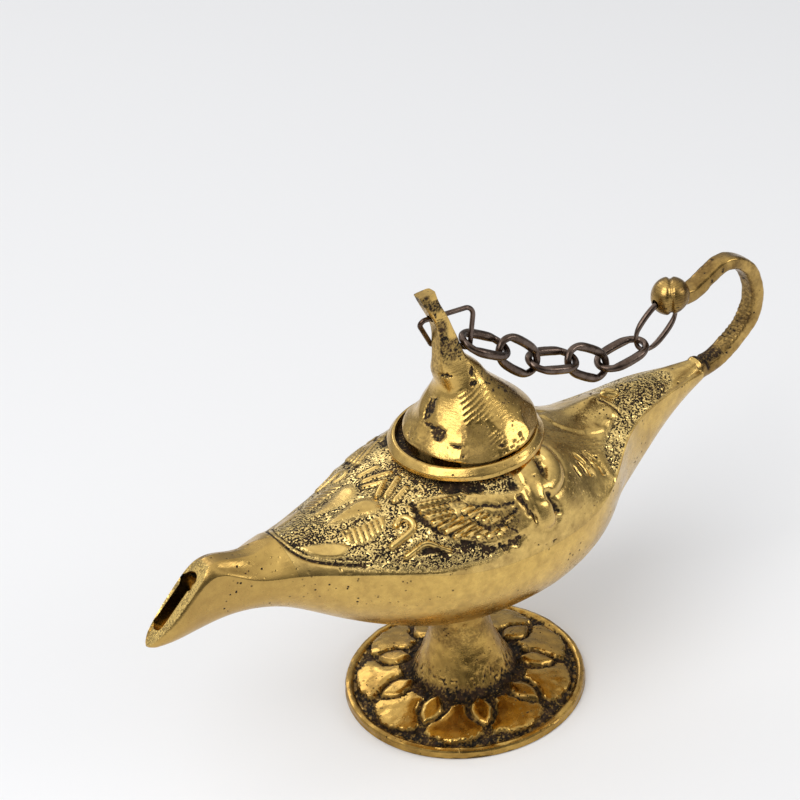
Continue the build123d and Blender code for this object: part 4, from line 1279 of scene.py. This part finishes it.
def tunnel_mesh():
    """Round channel through the knob on the handle ring's arc."""
    angle = np.linspace(0, 2 * np.pi, 96, endpoint=False)
    line = chain_pivots[0] + handle_ring_arc * np.stack([np.cos(angle), np.zeros(96), np.sin(angle)], -1)
    points = tube(line, handle_ring_bore, np.array([0, 1.0, 0]), 32)
    shell = Shell()
    # Its faces are painted black, and the channel keeps that: painted shade inside the hole.
    shell.surface(np.concatenate([points, points[:1]]), 1.0, wrap=True)
    return shell.mesh("tunnel")


class Nodes:
    """Node tree, built a node at a time."""

    def __init__(self, tree):
        self.tree = tree

    def node(self, kind, **values):
        """New node with its properties set by name and its inputs by position or name."""
        made = self.tree.nodes.new("ShaderNode" + kind)
        for key, value in values.items():
            if key.startswith("in_"):
                label = key[3:].replace("_", " ")
                socket = made.inputs[int(label)] if label.isdigit() else made.inputs[label]
                if isinstance(value, bpy.types.NodeSocket):
                    self.tree.links.new(value, socket)
                else:
                    socket.default_value = value
            else:
                setattr(made, key, value)
        return made

    def place(self):
        """Object coordinates, in metres."""
        return self.node("TexCoord").outputs["Object"]

    def noise(self, place, scale, detail=3.0, rough=0.55):
        """Noise value over a place."""
        made = self.node("TexNoise", in_Vector=place, in_Scale=scale, in_Detail=detail, in_Roughness=rough)
        return made.outputs["Fac"]

    def span(self, value, low, high, start=0.0, end=1.0):
        """Value carried from one span to another, held at its ends."""
        made = self.node("MapRange", in_0=value, in_1=low, in_2=high, in_3=start, in_4=end)
        return made.outputs["Result"]

    def math(self, kind, first, second):
        """Result of two numbers."""
        return self.node("Math", operation=kind, in_0=first, in_1=second).outputs[0]

    def blend(self, share, first, second):
        """Colour between two colours."""
        made = self.node("Mix", data_type="RGBA")
        self.link(share, made.inputs[0])
        self.link(first, made.inputs[6])
        self.link(second, made.inputs[7])
        return made.outputs[2]

    def link(self, value, socket):
        """Joins a socket to a value, or sets it."""
        if isinstance(value, bpy.types.NodeSocket):
            self.tree.links.new(value, socket)
        else:
            socket.default_value = value

    def mark(self, label):
        """Number stored on the piece's points."""
        return self.node("Attribute", attribute_name=label).outputs["Fac"]

    def lobe(self, way, middle, low, high, start, end):
        """Value that passes smoothly from start to end as the cosine of the angle from a direction grows."""
        toward = self.node("VectorMath", operation="DOT_PRODUCT", in_0=way, in_1=middle).outputs["Value"]
        made = self.node("MapRange", interpolation_type="SMOOTHSTEP", in_0=toward, in_1=low, in_2=high,
                         in_3=start, in_4=end)
        return made.outputs[0]


class Shader(Nodes):
    """Node tree of one material."""

    def __init__(self, name):
        self.material = bpy.data.materials.new(name)
        self.material.use_nodes = True
        super().__init__(self.material.node_tree)
        self.surface = self.tree.nodes["Principled BSDF"]


def brass(name, light, deep, tarnish, roughness, pit_scale, pit_amount, scratch, crust_light, crust_black,
          smear, spout_shade=0.0):
    """Cast brass: broad and fine tone, black patina, painted shade and speckled crust where marked, painted
    shade towards the spout, pits and scratches.
    """
    shader = Shader(name)
    place = shader.place()
    tone = shader.span(shader.noise(place, 90, 4), 0.35, 0.65)
    fine_tone = shader.span(shader.noise(place, 700, 3), 0.35, 0.68)
    colour = shader.blend(tone, light, deep)
    colour = shader.blend(shader.math("MULTIPLY", fine_tone, 0.32), colour, tarnish)
    unpolished = shader.span(shader.mark("polish"), 0, 1, 1.0, 0.25)
    smears = shader.span(shader.noise(place, 210, 6, 0.7), 0.44, 0.66, 0.0, smear)
    colour = shader.blend(shader.math("MULTIPLY", smears, unpolished), colour, tarnish)
    crust = shader.mark("crust")
    along = shader.node("SeparateXYZ", in_0=place).outputs["X"]
    # Painted shade: the colour darkens towards the spout tip.
    colour = shader.blend(shader.span(along, -0.014, -0.048, 0.0, spout_shade), colour, tarnish)
    colour = shader.blend(crust, colour, crust_light)
    pits = shader.node("TexVoronoi", in_Vector=place, in_Scale=pit_scale).outputs["Distance"]
    pit_patch = shader.span(shader.noise(place, pit_scale * 0.16, 2), 0.50, 0.68)
    pitted = shader.math("MULTIPLY", shader.span(pits, 0.26, 0.14), pit_patch)
    pitted = shader.math("MULTIPLY", pitted, pit_amount)
    stipple = shader.noise(place, 2700, 1.5, 0.6)
    thick = shader.span(shader.noise(place, 180, 2), 0.35, 0.65, -0.05, 0.06)
    speckled = shader.span(shader.math("ADD", stipple, thick), 0.47, 0.55)
    speckled = shader.math("MULTIPLY", shader.math("MULTIPLY", speckled, crust), crust_black)
    worn = shader.span(shader.noise(place, 2200, 3), 0.35, 0.62, 0.55, 1.15)
    # The dark mark holds real patina and painted shade alike.
    patina_and_shade = shader.math("MULTIPLY", shader.mark("patina_and_shade"), worn)
    dark = shader.math("MAXIMUM", shader.math("MAXIMUM", patina_and_shade, pitted), speckled)
    dark = shader.span(dark, 0, 1)
    sunk = shader.span(dark, 0.2, 0.75)
    black = shader.blend(shader.span(shader.noise(place, 500, 2), 0.4, 0.65), (0.010, 0.007, 0.005, 1),
                         (0.045, 0.024, 0.012, 1))
    final = shader.blend(sunk, colour, black)
    surface = shader.surface
    surface.inputs["Specular IOR Level"].default_value = 0.12
    shader.link(final, surface.inputs["Base Color"])
    shader.link(shader.span(sunk, 0, 1, 1.0, 0.15), surface.inputs["Metallic"])
    rough = shader.span(shader.noise(place, 260, 5), 0.3, 0.7, roughness - 0.07, roughness + 0.1)
    shader.link(shader.math("ADD", rough, shader.span(sunk, 0, 1, 0, 0.35)), surface.inputs["Roughness"])
    stretch = shader.node("Mapping", in_Vector=place, in_Scale=(120, 900, 2600))
    scratches = shader.noise(stretch.outputs[0], 1.0, 4, 0.7)
    height = shader.math("MULTIPLY", scratches, scratch)
    height = shader.math("SUBTRACT", height, shader.math("MULTIPLY", pitted, 1.2))
    height = shader.math("SUBTRACT", height, shader.math("MULTIPLY", speckled, 1.4))
    height = shader.math("ADD", height, shader.math("MULTIPLY", shader.noise(place, 1500, 4), 0.3))
    bump = shader.node("Bump", in_Strength=0.5, in_Distance=0.00014, in_Height=height)
    shader.link(bump.outputs[0], surface.inputs["Normal"])
    return shader.material


def dark_steel(name, light, deep, roughness):
    """Gunmetal wire: brown and grey tones, worn bright in places, with fine drawn streaks."""
    shader = Shader(name)
    place = shader.place()
    tone = shader.span(shader.noise(place, 420, 4), 0.35, 0.65)
    colour = shader.blend(tone, light, deep)
    rust = shader.math("MULTIPLY", shader.mark("patina_and_shade"), shader.span(shader.noise(place, 900, 3), 0.4, 0.6))
    colour = shader.blend(shader.math("MULTIPLY", rust, 0.6), colour, (0.07, 0.035, 0.018, 1))
    surface = shader.surface
    shader.link(colour, surface.inputs["Base Color"])
    surface.inputs["Metallic"].default_value = 1.0
    shader.link(shader.span(shader.noise(place, 600, 4), 0.3, 0.7, roughness - 0.07, roughness + 0.14),
                surface.inputs["Roughness"])
    bump = shader.node("Bump", in_Strength=0.3, in_Distance=0.00008, in_Height=shader.noise(place, 1800, 4))
    shader.link(bump.outputs[0], surface.inputs["Normal"])
    return shader.material


def zinc_steel(name):
    """Plated fastener steel with faint cloudy tone and machining haze."""
    shader = Shader(name)
    place = shader.place()
    cloud = shader.span(shader.noise(place, 500, 4), 0.35, 0.65)
    shader.link(shader.blend(cloud, (0.52, 0.52, 0.5, 1), (0.36, 0.36, 0.35, 1)),
                shader.surface.inputs["Base Color"])
    shader.surface.inputs["Metallic"].default_value = 1.0
    shader.link(shader.span(shader.noise(place, 900, 3), 0.3, 0.7, 0.28, 0.45),
                shader.surface.inputs["Roughness"])
    bump = shader.node("Bump", in_Strength=0.2, in_Distance=0.00005, in_Height=shader.noise(place, 1500, 3))
    shader.link(bump.outputs[0], shader.surface.inputs["Normal"])
    return shader.material


def make_floor():
    """Plain pale floor under the foot."""
    size = floor_size
    mesh = bpy.data.meshes.new("floor")
    mesh.from_pydata([(-size, -size, 0), (size, -size, 0), (size, size, 0), (-size, size, 0)], [],
                     [(0, 1, 2, 3)])
    floor = bpy.data.objects.new("floor", mesh)
    bpy.context.scene.collection.objects.link(floor)
    shader = Shader("pale_floor")
    shader.surface.inputs["Base Color"].default_value = floor_colour
    shader.surface.inputs["Roughness"].default_value = 0.8
    shader.surface.inputs["Specular IOR Level"].default_value = 0.1
    mesh.materials.append(shader.material)


def make_surroundings():
    """White for the camera, a room that is bright overhead and dim in front for gloss, and a soft fill."""
    world = bpy.data.worlds.new("studio")
    world.use_nodes = True
    bpy.context.scene.world = world
    nodes = Nodes(world.node_tree)
    background = world.node_tree.nodes["Background"]
    background.inputs["Color"].default_value = (1, 1, 1, 1)
    ray = nodes.node("LightPath").outputs
    way = nodes.node("TexCoord").outputs["Generated"]
    sky = nodes.lobe(way, bright_side, -0.15, 0.95, 0.14, 1.12)
    dim = nodes.lobe(way, dark_side, 0.70, 0.96, 1.0, 0.22)
    seen = nodes.math("MAXIMUM", ray["Is Camera Ray"], ray["Is Transmission Ray"])
    gloss = nodes.math("MULTIPLY", ray["Is Glossy Ray"], nodes.math("MULTIPLY", sky, dim))
    matte = nodes.math("MULTIPLY", ray["Is Diffuse Ray"], fill_light)
    strength = nodes.math("MAXIMUM", nodes.math("MAXIMUM", seen, gloss), matte)
    nodes.link(strength, background.inputs["Strength"])


def look_matrix(back):
    """Rotation whose local Z points back, away from the target."""
    back = back / np.linalg.norm(back)
    right = np.cross([0.0, 0.0, 1.0], back)
    right /= np.linalg.norm(right)
    return np.stack([right, np.cross(back, right), back], 1).tolist()


def make_lamps():
    """Soft round lamps, each turned to its aim."""
    for name, place, aim, size, power in lamps:
        lamp = bpy.data.lights.new(name, "AREA")
        lamp.shape = "DISK"
        lamp.size = size
        lamp.energy = power
        holder = bpy.data.objects.new(name, lamp)
        bpy.context.scene.collection.objects.link(holder)
        holder.location = place
        holder.rotation_euler = Matrix(look_matrix(np.array(place) - np.array(aim))).to_euler()


def make_camera():
    """Camera at the photograph's viewing angle: turned, raised and rolled, in front of the lamp."""
    turn, rise, roll = np.radians((camera_turn, camera_rise, camera_roll))
    back = np.array([np.sin(turn) * np.cos(rise), -np.cos(turn) * np.cos(rise), np.sin(rise)])
    flat = np.array(look_matrix(back))
    right, up = flat[:, 0], flat[:, 1]
    rolled_right = right * np.cos(roll) - up * np.sin(roll)
    rolled_up = up * np.cos(roll) + right * np.sin(roll)
    camera = bpy.data.cameras.new("camera")
    camera.lens = camera_lens
    camera.sensor_width = 36
    camera.clip_start = 0.01
    holder = bpy.data.objects.new("camera", camera)
    bpy.context.scene.collection.objects.link(holder)
    matrix = Matrix(np.stack([rolled_right, rolled_up, back], 1).tolist()).to_4x4()
    matrix.translation = camera_place * MM
    holder.matrix_world = matrix
    bpy.context.scene.camera = holder


def dress_fasteners(material):
    """Bolt, washer and nut keep their CAD meshes and get a plated finish."""
    for node in ("foot_bolt", "foot_washer", "foot_nut"):
        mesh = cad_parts[node].data
        mesh.materials.clear()
        mesh.materials.append(material)


bpy.context.scene.view_settings.view_transform = "Standard"
make_camera()
make_surroundings()
make_lamps()
make_floor()
bowl_brass = brass("bowl_brass", (0.80, 0.54, 0.155, 1), (0.68, 0.45, 0.125, 1), (0.32, 0.19, 0.06, 1),
                   0.25, 900, 0.9, 0.5, (0.66, 0.46, 0.15, 1), 0.5, 0.40, 0.5)
deck_brass = brass("deck_brass", (0.82, 0.57, 0.19, 1), (0.62, 0.41, 0.12, 1), (0.20, 0.115, 0.04, 1),
                   0.23, 1100, 1.0, 0.3, (0.86, 0.63, 0.24, 1), 1.0, 0.55)
lid_brass = brass("lid_brass", (0.78, 0.52, 0.16, 1), (0.60, 0.39, 0.11, 1), (0.20, 0.115, 0.035, 1),
                  0.19, 1000, 0.9, 0.7, (0.60, 0.45, 0.20, 1), 1.0, 0.55)
foot_brass = brass("foot_brass", (0.60, 0.38, 0.10, 1), (0.42, 0.25, 0.06, 1), (0.16, 0.085, 0.025, 1),
                   0.23, 1200, 1.0, 0.3, (0.60, 0.45, 0.20, 1), 1.0, 0.55)
handle_brass = brass("handle_brass", (0.57, 0.37, 0.115, 1), (0.36, 0.225, 0.065, 1), (0.11, 0.06, 0.02, 1),
                     0.24, 1100, 1.0, 0.4, (0.60, 0.45, 0.20, 1), 1.0, 0.85)
chain_steel = dark_steel("chain_steel", (0.17, 0.125, 0.10, 1), (0.075, 0.05, 0.038, 1), 0.22)
fastener_steel = zinc_steel("fastener_steel")
make_bowl(bowl_brass)
make_deck(deck_brass)
make_collar(lid_brass)
make_lid(lid_brass)
make_foot(foot_brass)
make_handle(handle_brass)
make_chain(chain_steel)
make_lid_ring(chain_steel)
dress_fasteners(fastener_steel)
